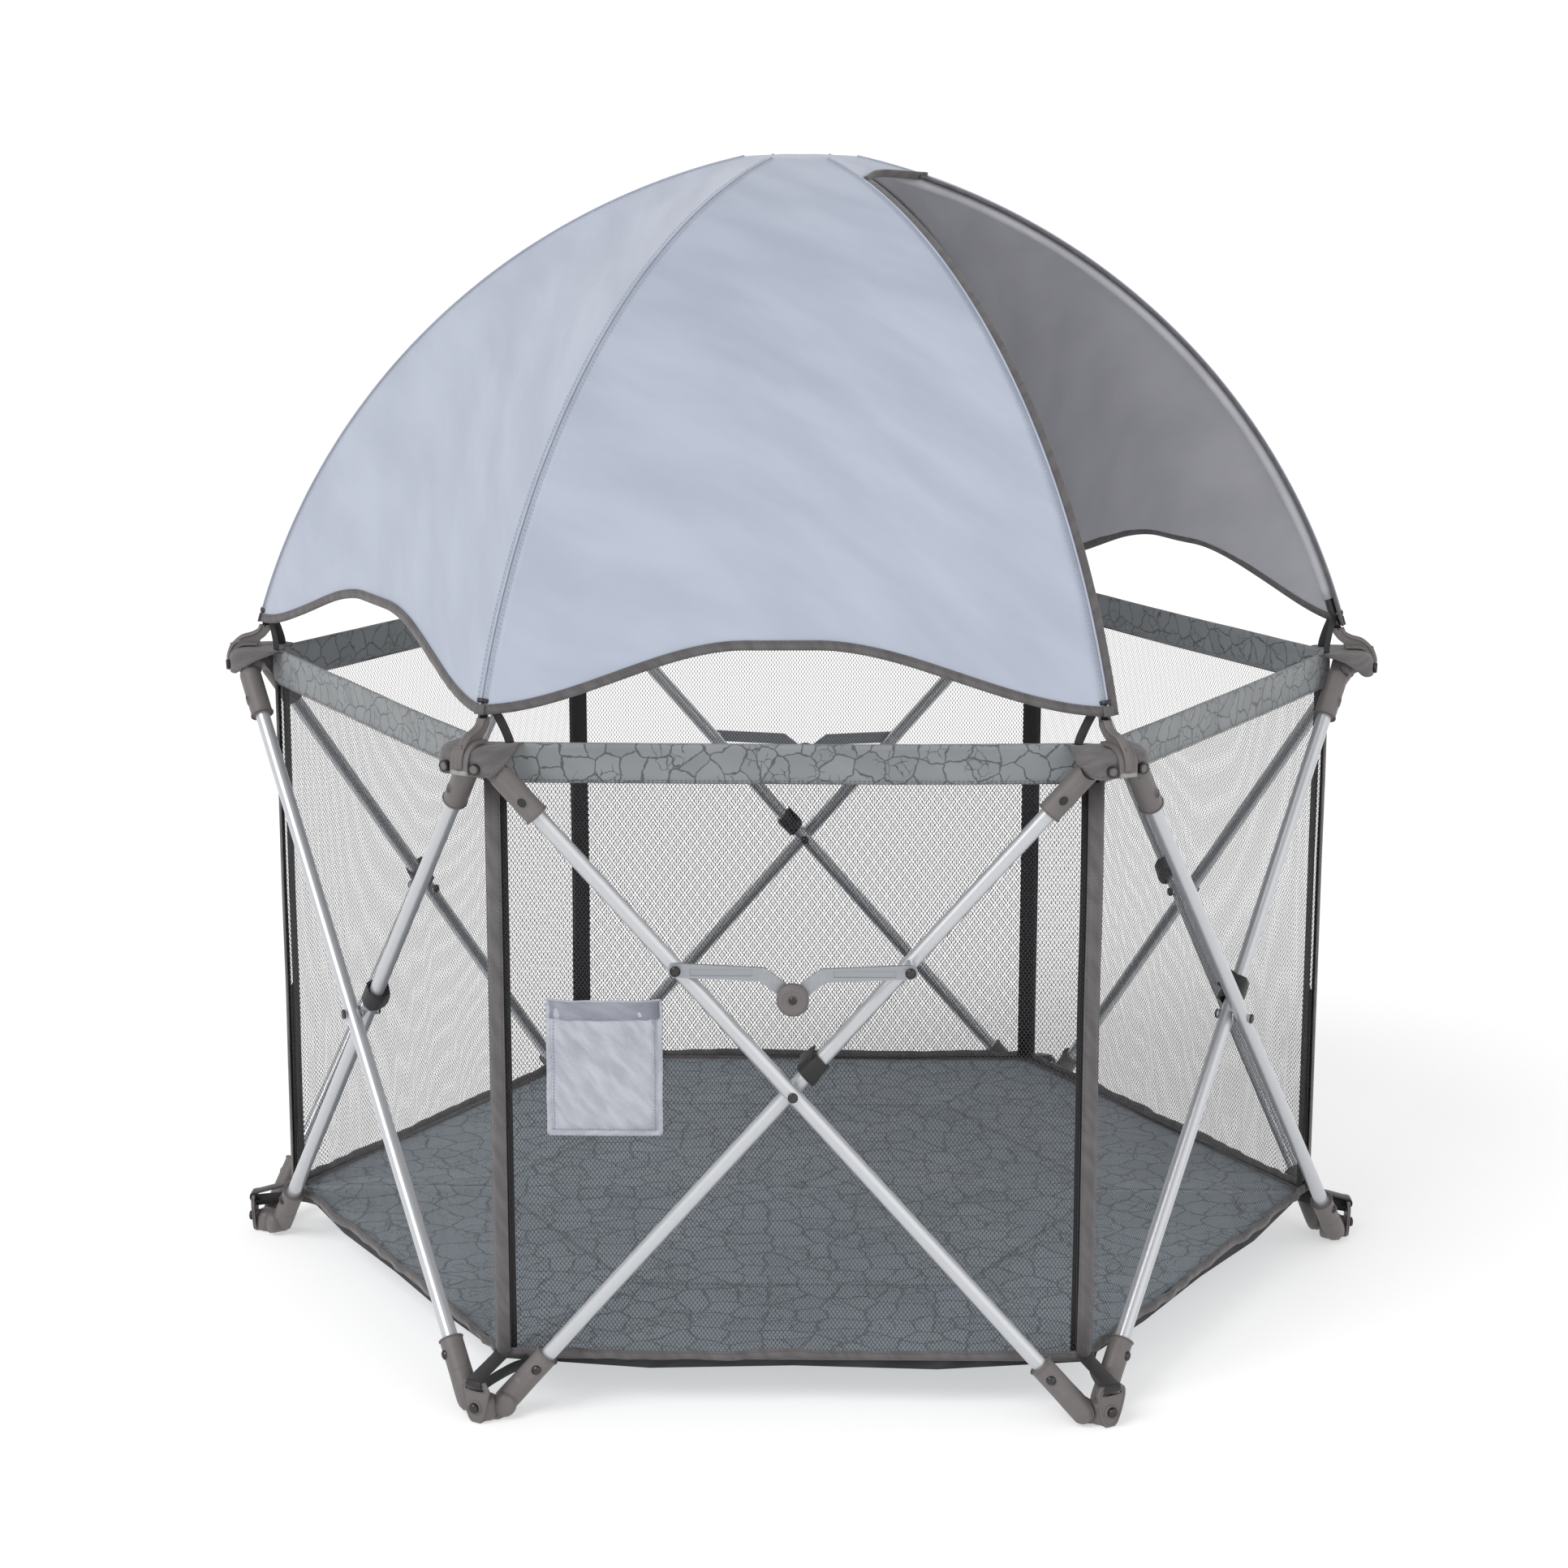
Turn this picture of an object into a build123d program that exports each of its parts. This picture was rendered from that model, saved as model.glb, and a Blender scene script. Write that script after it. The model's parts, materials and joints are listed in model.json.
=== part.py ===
from build123d import *
from math import asin, acos, atan2, cos, degrees, hypot, radians, sin, sqrt, tan
import os

os.makedirs("parts", exist_ok=True)

# Travel play yard: a six-sided ring of scissor frames with mesh walls, a floor mat and a dome
# canopy. Millimetres, +Z up, origin on the ground under the middle, front side facing -Y.

# ---- names of the six corners and of the six sides (side i runs from corner i to corner i + 1)
CORNERS = ["front_left", "front_right", "right", "back_right", "back_left", "left"]
SIDES = ["front", "right_front", "right_back", "back", "left_back", "left_front"]
BRACED_SIDES = [0, 3]
OPEN_CANOPY_SIDE = 1

# ---- frame
corner_radius = 625.0  # middle of the yard to each corner, and so also the length of a side
pin_offset = 20.0  # corner to each pivot pin, along the side
foot_pin_z = 15.0
top_pin_z = 680.0
tube_radius = 8.0
tube_wall = 1.0
tube_depth = 9.0  # tube axes stand this far inside and outside the side's middle plane
pin_radius = 3.0
running_gap = 0.05  # radial clearance of every moving bore
side_gap = 0.3  # clearance between faces that slide on each other

# ---- sockets at both ends of each tube
socket_radius = 12.0
socket_nose = 15.0  # pivot pin to the middle of the rounded nose
socket_seat = 26.0  # pivot pin to the end of the tube inside the socket
socket_end = 66.0
tongue_thickness = 11.0
tongue_radius = 11.0
lug_slot_radius = 14.5  # room that the socket leaves round the lug

# ---- feet and corner brackets
lug_thickness = 9.4
lug_radius = 11.0
lug_bar_half = 8.0  # half the height of the bar that carries a top lug
tab_radial = 14.0
tab_thickness = 3.0
tab_width = 34.0
tab_height = 45.0
tab_slot = (24.0, 5.0)
hood_half_width = 10.5
hood_radius = 21.0
hood_wall = 3.0
hood_bottom_z = 677.0
hood_shoulder_z = 682.0  # where the hood starts to curve over
horn_top_z = 722.0
horn_thickness = 8.0

# ---- over-centre brace on the front and back sides
brace_reach = 174.0  # crossing pin to each brace pivot, along the tube
brace_drop = 27.0  # the lock stands this far below the two brace pivots
link_height = 14.0
link_thickness = 3.5
lock_radius = 16.0
lock_thickness = 9.0

# ---- walls, floor and pocket
wall_inset = 25.0  # outer face of the mesh, inside the side's middle plane
mesh_thickness = 2.0
mesh_z = (60.0, 652.5)
band_z = (653.5, 697.0)
band_inset = 22.0
band_thickness = 8.0
panel_gap = 0.8
floor_z = (52.0, 57.0)
floor_apothem = 511.0
pocket_along = (-245.0, -132.0)
pocket_z = (295.0, 436.0)
pocket_depth = 10.0
pocket_sheet = 1.5

# ---- canopy: every pole is an arc about a point behind the yard's middle axis
dome_radius = 740.2
dome_centre = (-99.8, 520.1)
fabric_thickness = 1.5
pole_radius = 4.0
pole_inset = 9.0
pole_end_z = 738.0
pole_inner_radius = 46.0
hub_radius = 55.0
hub_z = (1222.0, 1238.5)
cap_radius = 64.0
fabric_top_z = 1243.0
hem_corner_z = 733.0
hem_middle_z = 788.0
tip_radius = 5.0
tip_length = 24.0

# ---- worked out
side_length = corner_radius
apothem = corner_radius * cos(radians(30))
pin_along = side_length / 2 - pin_offset
pin_rise = top_pin_z - foot_pin_z
tube_span = hypot(2 * pin_along, pin_rise)
tube_angle = atan2(pin_rise, 2 * pin_along)
crossing_z = (top_pin_z + foot_pin_z) / 2
tan30 = tan(radians(30))


def at_side(i):
    """Turn for side i: built with X outward, Y along the side and Z up."""
    return Rot(0, 0, 60 * i - 90)


def at_corner(i):
    """Turn for corner i: built with X radial and outward, Y tangent and Z up."""
    return Rot(0, 0, 60 * i - 120)


def save(name, *solids):
    node = Compound(label=name, children=list(solids)) if len(solids) > 1 else solids[0]
    export_step(node, f"parts/{name}.step")


def rod_z(radius, start, end):
    """A round bar along Z."""
    return Pos(0, 0, (start + end) / 2) * Cylinder(radius, end - start)


def rod_x(radius, start, end):
    """A round bar along X."""
    return Rot(0, 90, 0) * rod_z(radius, start, end)


def rod_y(radius, start, end):
    """A round bar along Y."""
    return Rot(-90, 0, 0) * rod_z(radius, start, end)


def block(x, y, z):
    """A box from its three ranges."""
    middle = Pos((x[0] + x[1]) / 2, (y[0] + y[1]) / 2, (z[0] + z[1]) / 2)
    return middle * Box(x[1] - x[0], y[1] - y[0], z[1] - z[0])


def member_place(start, end, depth):
    """Frame of a tube in a side: X from start to end, Z outward; points are (along, height)."""
    direction = (0, end[0] - start[0], end[1] - start[1])
    return Location(Plane(origin=(apothem + depth, start[0], start[1]), x_dir=direction, z_dir=(1, 0, 0)))


# ---- the ends of the two tubes of a side, as (along, height)
inner_foot = (-pin_along, foot_pin_z)
inner_top = (pin_along, top_pin_z)
outer_top = (-pin_along, top_pin_z)
outer_foot = (pin_along, foot_pin_z)


def tube(cross_bore, brace_bore):
    """A round tube along X with its pivot holes, as long as fits between its two sockets."""
    body = rod_x(tube_radius, socket_seat, tube_span - socket_seat)
    body -= rod_x(tube_radius - tube_wall, socket_seat - 1, tube_span - socket_seat + 1)
    body -= Pos(tube_span / 2, 0, 0) * rod_z(cross_bore, -20, 20)
    if brace_bore:
        body -= Pos(brace_bore, 0, 0) * rod_z(pin_radius, -20, 20)
    return body


def socket(outward):
    """A moulded socket along X from its pivot pin; outward is the side of the lug its tongue is on."""
    nose = Pos(socket_nose, 0, 0) * Sphere(socket_radius)
    lip = 1.5
    sleeve = rod_x(socket_radius, socket_nose, socket_end)
    sleeve = chamfer(sleeve.edges().filter_by(GeomType.CIRCLE).sort_by(Axis.X)[-1], lip)
    lug_plane = -outward * tube_depth
    tongue_inner = lug_plane + outward * (lug_thickness / 2 + side_gap)
    tongue_outer = tongue_inner + outward * tongue_thickness
    low, high = sorted((tongue_inner, tongue_outer))
    slot_half = lug_thickness / 2 + side_gap
    body = nose + sleeve
    body -= Pos(0, 0, lug_plane) * rod_z(lug_slot_radius, -slot_half, slot_half)
    body += rod_z(tongue_radius, low, high)
    body += block((0, socket_nose), (-tongue_radius + 1, tongue_radius - 1), (low, high))
    body -= rod_x(tube_radius, socket_seat, socket_end + 1)
    body -= rod_z(pin_radius + running_gap, -30, 30)
    return body


def crossing_pin():
    """The rivet that joins the two tubes of a side where they cross, with a washer between them."""
    inner_face = -2 * tube_depth - tube_radius
    pin = rod_z(pin_radius, inner_face - side_gap - 2, tube_radius + 2)
    pin += rod_z(5.0, inner_face - side_gap - 2, inner_face - side_gap)
    pin += rod_z(5.0, tube_radius, tube_radius + 2)
    pin += rod_z(7.0, -tube_depth - 0.7, -tube_radius - 0.1)
    return pin


link_back = tube_depth + tube_radius + side_gap  # back face of the link on the outer tube
link_front = link_back + link_thickness + side_gap  # back face of the link on the inner tube


def brace_pin(axis_depth, link_face):
    """A brace pivot on a tube whose axis has the given depth; it carries the link at link_face."""
    washer_end = link_face - side_gap
    pin = rod_z(pin_radius, axis_depth - tube_radius - 2, link_face + link_thickness + side_gap + 1)
    pin += rod_z(5.0, axis_depth - tube_radius - 2, axis_depth - tube_radius)
    pin += rod_z(5.5, link_face + link_thickness + side_gap, link_face + link_thickness + side_gap + 2)
    if washer_end - axis_depth - tube_radius > 1:
        pin += rod_z(6.0, axis_depth + tube_radius, washer_end)
    return Pos(0, 0, -axis_depth) * pin


for i, side in enumerate(SIDES):
    braced = i in BRACED_SIDES
    inner_place = at_side(i) * member_place(inner_foot, inner_top, -tube_depth)
    inner_place_back = at_side(i) * member_place(inner_top, inner_foot, -tube_depth)
    outer_place = at_side(i) * member_place(outer_top, outer_foot, tube_depth)
    outer_place_back = at_side(i) * member_place(outer_foot, outer_top, tube_depth)

    inner_bore = tube_span / 2 + brace_reach if braced else 0
    outer_bore = tube_span / 2 - brace_reach if braced else 0
    inner = [inner_place * tube(pin_radius + running_gap, inner_bore)]
    outer = [outer_place * tube(pin_radius, outer_bore)]
    outer.append(outer_place * Pos(tube_span / 2, 0, 0) * crossing_pin())
    if braced:
        inner.append(inner_place * Pos(inner_bore, 0, 0) * brace_pin(-tube_depth, link_front))
        outer.append(outer_place * Pos(outer_bore, 0, 0) * brace_pin(tube_depth, link_back))
    save(f"{side}_inner_tube", *inner)
    save(f"{side}_outer_tube", *outer)
    save(f"{side}_inner_sockets", inner_place * socket(-1), inner_place_back * socket(-1))
    save(f"{side}_outer_sockets", outer_place * socket(1), outer_place_back * socket(1))


def lug_pin(height):
    """A pivot pin across a lug that points along X; the tongue is on its +Y side."""
    far = lug_thickness / 2 + side_gap + tongue_thickness + side_gap
    pin = rod_y(pin_radius, -lug_thickness / 2, far)
    pin += rod_y(5.0, -lug_thickness / 2 - 2, -lug_thickness / 2)
    pin += rod_y(5.5, far, far + 2)
    return Pos(pin_offset, 0, height) * pin


def plate_xz(outline, thickness):
    """A plate of the given closed outline in X and Z, centred on Y = 0."""
    face = make_face(Plane.XZ * outline)
    return extrude(face, thickness / 2, both=True)


def foot():
    """A foot: two lugs at 120 degrees on flat soles, and the strap tab on the outside."""
    half = lug_thickness / 2
    top = foot_pin_z + lug_bar_half
    arm = plate_xz(Polyline((0, 0), (14, 0), (25, 5), (26, 12), (20, top), (0, top), close=True), lug_thickness)
    arm += Pos(pin_offset, 0, foot_pin_z) * rod_y(lug_radius, -half, half)
    arm -= Pos(pin_offset, 0, foot_pin_z) * rod_y(pin_radius, -20, 20)
    body = Rot(0, 0, 120) * arm + Rot(0, 0, -120) * arm
    body += block((-2, tab_radial + 1), (-5, 5), (0, top))
    half_tab = tab_width / 2
    tab_outline = Polyline(
        (-half_tab, tab_height - 9), (-half_tab + 5, tab_height), (half_tab - 5, tab_height),
        (half_tab, tab_height - 9), (9, 6), (5, 1), (-5, 1), (-9, 6), close=True,
    )
    tab = extrude(make_face(Plane.YZ * tab_outline), tab_thickness, dir=(1, 0, 0))
    slot_half = (tab_slot[0] / 2, tab_slot[1] / 2)
    slot = block((-1, 10), (-slot_half[0], slot_half[0]), (-slot_half[1], slot_half[1]))
    tab -= Pos(0, 0, tab_height - 8) * slot
    body += Pos(tab_radial, 0, 0) * tab
    body += Pos(0, 0, 17) * rod_x(4.5, tab_radial + 1, tab_radial + tab_thickness + 2.5)
    return [body, Rot(0, 0, 120) * lug_pin(foot_pin_z), Rot(0, 0, -120) * lug_pin(foot_pin_z)]


def bracket():
    """A corner bracket: two lugs at 120 degrees under a curved hood with the canopy horn."""
    half = lug_thickness / 2
    arm = block((0, pin_offset), (-half, half), (top_pin_z - lug_bar_half, top_pin_z + lug_radius))
    arm += Pos(pin_offset, 0, top_pin_z) * rod_y(lug_radius, -half, half)
    arm -= Pos(pin_offset, 0, top_pin_z) * rod_y(pin_radius, -20, 20)
    body = Rot(0, 0, 120) * arm + Rot(0, 0, -120) * arm
    shoulder_z = hood_shoulder_z
    body += block((-4, hood_radius - 1), (-3, 3), (hood_bottom_z + 1, shoulder_z + hood_radius - 2))
    inner_radius = hood_radius - hood_wall
    back = -12.0
    hood = Polyline((hood_radius, hood_bottom_z), (hood_radius, shoulder_z))
    hood += CenterArc((0, shoulder_z), hood_radius, 0, 90)
    hood += Polyline(
        (0, shoulder_z + hood_radius), (back, shoulder_z + hood_radius),
        (back, shoulder_z + inner_radius), (0, shoulder_z + inner_radius),
    )
    hood += CenterArc((0, shoulder_z), inner_radius, 0, 90)
    hood += Polyline((inner_radius, shoulder_z), (inner_radius, hood_bottom_z), (hood_radius, hood_bottom_z))
    body += plate_xz(hood, 2 * hood_half_width)
    horn = Polyline(
        (22.5, 679), (22, 686), (16, 698), (6, 707), (-6, 711), (-13, 716), (-16, horn_top_z),
        (-26, horn_top_z), (-25, 715), (-20, 709), (-12, 703), (-12, 700.5), (6, 700.5),
        (14, 694), (18.5, 684), (18.5, 679), close=True,
    )
    body += plate_xz(horn, horn_thickness)
    mirrored = mirror(lug_pin(top_pin_z), Plane.XZ)
    return [body, Rot(0, 0, 120) * mirrored, Rot(0, 0, -120) * mirrored]


for i, corner in enumerate(CORNERS):
    corner_place = at_corner(i) * Pos(corner_radius, 0, 0)
    save(f"{corner}_foot", *[corner_place * s for s in foot()])
    save(f"{corner}_bracket", *[corner_place * s for s in bracket()])


brace_along = brace_reach * cos(tube_angle)
brace_z = crossing_z + brace_reach * sin(tube_angle)
elbow = (brace_along * 0.74, -4.0)


def link_bar(start, end):
    """A bar with round ends between two points of the link's own plane."""
    length = hypot(end[0] - start[0], end[1] - start[1])
    turn = degrees(atan2(end[1] - start[1], end[0] - start[0]))
    half = link_height / 2
    bar = block((0, length), (-half, half), (0, link_thickness))
    bar += rod_z(half, 0, link_thickness)
    bar += Pos(length, 0, 0) * rod_z(half, 0, link_thickness)
    return Pos(start[0], start[1], 0) * Rot(0, 0, turn) * bar


def link():
    """A brace link from its tube pivot at the origin along +X, then down to the lock."""
    body = link_bar((0, 0), elbow) + link_bar(elbow, (brace_along, -brace_drop))
    body -= block((14, elbow[0] - 10), (-5.5, 1.5), (link_thickness - 1, link_thickness + 1))
    body -= rod_z(pin_radius + running_gap, -1, link_thickness + 1)
    body -= Pos(brace_along, -brace_drop, 0) * rod_z(pin_radius, -1, link_thickness + 1)
    return body


def lock():
    """The round lock at the middle of the brace, with the rivet that holds it to its link."""
    body = rod_z(lock_radius, 0, lock_thickness)
    body = chamfer(body.edges().sort_by(Axis.Z)[-1], 1.5)
    body -= rod_z(6.0, lock_thickness - 2.5, lock_thickness + 1)
    rivet = rod_z(pin_radius, -link_thickness, 0)
    rivet += rod_z(4.0, 0, lock_thickness - 1)
    return [body - rod_z(4.0, -1, lock_thickness + 1), rivet]


for i in BRACED_SIDES:
    side = SIDES[i]
    # X of a link's frame runs along the side, Y up and Z outward.
    facing = Plane(origin=(apothem, 0, brace_z), x_dir=(0, 1, 0), z_dir=(1, 0, 0))
    left_place = at_side(i) * Location(facing) * Pos(-brace_along, 0, link_back)
    right_place = at_side(i) * Location(facing) * Pos(brace_along, 0, link_front)
    lock_place = at_side(i) * Location(facing) * Pos(0, -brace_drop, link_front + link_thickness)
    save(f"{side}_brace_left_link", left_place * link())
    save(f"{side}_brace_right_link", right_place * mirror(link(), Plane.YZ))
    save(f"{side}_brace_lock", *[lock_place * s for s in lock()])


def wall():
    """A wall: the mesh sheet and the padded band along the top of it, on one side of the yard."""
    mesh_outer = apothem - wall_inset
    mesh_inner = mesh_outer - mesh_thickness
    band_outer = apothem - band_inset
    band_inner = band_outer - band_thickness
    mesh_half = mesh_inner * tan30 - panel_gap
    band_half = band_inner * tan30 - panel_gap
    mesh = block((mesh_inner, mesh_outer), (-mesh_half, mesh_half), mesh_z)
    band = block((band_inner, band_outer), (-band_half, band_half), band_z)
    return [mesh, band]


def floor_panel():
    """One of the six folding parts of the mat: a triangle from the side to the middle."""
    half = floor_apothem * tan30 - panel_gap
    outline = Polyline((2, 0), (floor_apothem, -half), (floor_apothem, half), close=True)
    return Pos(0, 0, floor_z[0]) * extrude(make_face(outline), floor_z[1] - floor_z[0], dir=(0, 0, 1))


for i, side in enumerate(SIDES):
    save(f"{side}_wall", *[at_side(i) * s for s in wall()])
    save(f"{side}_floor_panel", at_side(i) * floor_panel())


def pocket():
    """The open-topped pouch on the outside of the front wall."""
    back = apothem - wall_inset + 0.5
    front = back + pocket_depth
    pouch = block((back, front), pocket_along, pocket_z)
    inside_along = (pocket_along[0] + pocket_sheet, pocket_along[1] - pocket_sheet)
    inside_z = (pocket_z[0] + pocket_sheet, pocket_z[1] + 1)
    return pouch - block((back - 1, front - pocket_sheet), inside_along, inside_z)


save("storage_pocket", at_side(0) * pocket())


def dome_x(radius, z):
    """Distance from the middle axis of the circle about the dome's centre, at height z."""
    return dome_centre[0] + sqrt(radius**2 - (z - dome_centre[1]) ** 2)


def gore():
    """One panel of the canopy: the pole's arc drawn out along a side, cut to its wedge and hem."""
    squeeze = cos(radians(30))
    outer = [(dome_x(dome_radius, z) * squeeze, z) for z in arc_heights()]
    inner_radius = dome_radius - fabric_thickness
    inner = [(dome_x(inner_radius, z) * squeeze, z) for z in arc_heights()]
    outline = Spline(*outer) + Line(outer[-1], inner[-1])
    outline += Spline(*reversed(inner)) + Line(inner[0], outer[0])
    sheet = extrude(make_face(Plane.XZ * outline), side_length, both=True)
    far = corner_radius + 100
    wedge_outline = Polyline((0.7, 0), (far, -far * tan30 + 0.4), (far, far * tan30 - 0.4), close=True)
    wedge = extrude(make_face(wedge_outline), 2000, dir=(0, 0, 1))
    half = dome_x(dome_radius, hem_corner_z) / 2
    hem = ThreePointArc((-half, hem_corner_z), (0, hem_middle_z), (half, hem_corner_z))
    hem += Polyline((half, hem_corner_z), (half + 60, 700), (-half - 60, 700), (-half, hem_corner_z))
    below = extrude(make_face(Plane.YZ * hem), far, dir=(1, 0, 0))
    return (sheet & wedge) - below


def arc_heights():
    """Heights of the points that the dome's profile passes through, closer together near the top."""
    steps = 12
    low_angle = asin((hem_corner_z - dome_centre[1]) / dome_radius)
    high_angle = asin((fabric_top_z - dome_centre[1]) / dome_radius)
    angles = [low_angle + (high_angle - low_angle) * k / steps for k in range(steps + 1)]
    return [dome_centre[1] + dome_radius * sin(a) for a in angles]


gores = [at_side(i) * gore() for i in range(6) if i != OPEN_CANOPY_SIDE]
cap = rod_z(cap_radius, fabric_top_z + 0.3, fabric_top_z + 0.3 + fabric_thickness)
save("canopy_fabric", *gores, cap)

pole_arc_radius = dome_radius - pole_inset
pole_low = degrees(asin((pole_end_z - dome_centre[1]) / pole_arc_radius))
pole_high = degrees(acos((pole_inner_radius - dome_centre[0]) / pole_arc_radius))


def pole():
    """A bent rod from its tip over a corner up to the canopy's hub."""
    path = Plane.XZ * CenterArc(dome_centre, pole_arc_radius, pole_low, pole_high - pole_low)
    return sweep(Plane(origin=path @ 0, z_dir=path % 0) * Circle(pole_radius), path=path)


def pole_tip():
    """The fitting on a pole's lower end, which stands just over the bracket's horn."""
    end = (dome_x(pole_arc_radius, pole_end_z), 0, pole_end_z)
    lean = -pole_low
    body = Pos(*end) * Rot(0, lean, 0) * rod_z(tip_radius, -4, tip_length - 4)
    return body - pole()


poles = [at_corner(i) * pole() for i in range(6)]
hub = rod_z(hub_radius, *hub_z)
for p in poles:
    hub -= p
save("canopy_poles", *poles)
save("canopy_hub", hub)
save("canopy_pole_tips", *[at_corner(i) * pole_tip() for i in range(6)])

print("tube span", round(tube_span, 2), "angle", round(degrees(tube_angle), 3))
print("brace pivots", round(brace_along, 2), round(brace_z, 2))
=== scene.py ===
import json
import math
import bpy
import numpy as np
from mathutils import Matrix, Vector, noise


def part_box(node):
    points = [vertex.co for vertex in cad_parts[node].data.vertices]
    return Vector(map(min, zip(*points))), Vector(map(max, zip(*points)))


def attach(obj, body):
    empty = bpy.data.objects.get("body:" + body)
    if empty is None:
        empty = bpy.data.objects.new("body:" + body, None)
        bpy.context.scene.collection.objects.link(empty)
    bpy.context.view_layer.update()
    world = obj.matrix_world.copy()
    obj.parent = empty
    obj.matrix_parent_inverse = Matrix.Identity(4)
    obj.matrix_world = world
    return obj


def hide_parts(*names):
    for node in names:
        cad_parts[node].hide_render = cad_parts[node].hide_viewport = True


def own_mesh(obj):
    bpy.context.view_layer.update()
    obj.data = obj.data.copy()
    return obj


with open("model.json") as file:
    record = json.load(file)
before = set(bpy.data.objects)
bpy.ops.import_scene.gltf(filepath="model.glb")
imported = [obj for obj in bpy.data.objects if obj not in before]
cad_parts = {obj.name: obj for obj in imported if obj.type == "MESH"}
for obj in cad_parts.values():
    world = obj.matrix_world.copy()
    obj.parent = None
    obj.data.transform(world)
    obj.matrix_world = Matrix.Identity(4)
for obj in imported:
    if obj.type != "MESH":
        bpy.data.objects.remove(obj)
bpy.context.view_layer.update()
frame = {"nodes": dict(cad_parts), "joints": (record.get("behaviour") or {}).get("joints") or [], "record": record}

mounts = {m["name"]: m for m in frame["record"]["mounts"]}
joints = {j["name"]: j for j in frame["joints"]}

corners = ["front_left", "front_right", "right", "back_right", "back_left", "left"]
sides = ["front", "right_front", "right_back", "back", "left_back", "left_front"]
openSide = 1
bracedSides = [0, 3]

# the yard's own sizes, read from the frame; metres
yard = {"corner": mounts["right_foot_sole"]["pos_m"][0]}
yard["apothem"] = yard["corner"] * math.cos(math.radians(30))
yard["footPinZ"] = joints["frame_fold"]["pos_m"][2]
yard["topPinZ"] = joints["front_inner_to_front_right_top"]["pos_m"][2]
yard["pinAlong"] = abs(joints["frame_fold"]["pos_m"][0])
yard["crossZ"] = (yard["footPinZ"] + yard["topPinZ"]) / 2
yard["tubeDepth"] = 0.009
yard["wallFoot"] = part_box("front_wall")[0].z
yard["foldKeep"] = 0.171  # a folded side's width as a share of the open one
tan30 = math.tan(math.radians(30))
cos30 = math.cos(math.radians(30))


def sideMatrix(i):
    # X points out of side i, Y runs along it, Z is up
    return Matrix.Rotation(math.radians(60 * i - 90), 4, "Z")


def cornerMatrix(i):
    # X is radial at corner i, Y is the tangent
    return Matrix.Rotation(math.radians(60 * i - 120), 4, "Z")


def srgb(r, g, b):
    def one(c):
        c = c / 255
        return c / 12.92 if c <= 0.04045 else ((c + 0.055) / 1.055) ** 2.4
    return (one(r), one(g), one(b), 1.0)


def smooth(t):
    t = min(1.0, max(0.0, t))
    return t * t * (3 - 2 * t)


def wave(x, y, seed):
    # smooth repeatable noise from -1 to 1
    return noise.noise(Vector((x + 13.7 * seed, y - 5.1 * seed, 2.3 * seed)))


# shader groups: each effect is built once and placed in the materials that use it

def newGroup(name, inputs, outputs):
    group = bpy.data.node_groups.new(name, "ShaderNodeTree")
    for label, kind, value in inputs:
        made = group.interface.new_socket(label, in_out="INPUT", socket_type=kind)
        if value is not None:
            made.default_value = value
    for label, kind in outputs:
        group.interface.new_socket(label, in_out="OUTPUT", socket_type=kind)
    start = group.nodes.new("NodeGroupInput")
    end = group.nodes.new("NodeGroupOutput")
    return group, start, end


def put(tree, kind, **settings):
    node = tree.nodes.new(kind)
    for key, value in settings.items():
        setattr(node, key, value)
    return node


def feed(tree, value, socket):
    if isinstance(value, bpy.types.NodeSocket):
        tree.links.new(value, socket)
    elif value is not None:
        socket.default_value = value


def maths(tree, operation, a, b=None, c=None, clamp=False):
    node = put(tree, "ShaderNodeMath", operation=operation, use_clamp=clamp)
    for value, socket in zip((a, b, c), node.inputs):
        feed(tree, value, socket)
    return node.outputs[0]


def vectors(tree, operation, a, b=None, scale=None):
    node = put(tree, "ShaderNodeVectorMath", operation=operation)
    feed(tree, a, node.inputs[0])
    feed(tree, b, node.inputs[1])
    if scale is not None:
        feed(tree, scale, node.inputs["Scale"])
    return node.outputs["Value"] if operation == "LENGTH" else node.outputs["Vector"]


def ramp(tree, value, low, high, outLow=0.0, outHigh=1.0):
    node = put(tree, "ShaderNodeMapRange", interpolation_type="SMOOTHSTEP")
    for v, key in ((value, 0), (low, 1), (high, 2), (outLow, 3), (outHigh, 4)):
        feed(tree, v, node.inputs[key])
    return node.outputs[0]


def noiseOf(tree, where, scale, detail=3.0, roughness=0.5):
    node = put(tree, "ShaderNodeTexNoise")
    feed(tree, where, node.inputs["Vector"])
    feed(tree, scale, node.inputs["Scale"])
    node.inputs["Detail"].default_value = detail
    node.inputs["Roughness"].default_value = roughness
    return node.outputs["Fac"]


def blendColour(tree, share, a, b):
    node = put(tree, "ShaderNodeMix", data_type="RGBA")
    feed(tree, share, node.inputs[0])
    feed(tree, a, node.inputs[6])
    feed(tree, b, node.inputs[7])
    return node.outputs[2]


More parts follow.
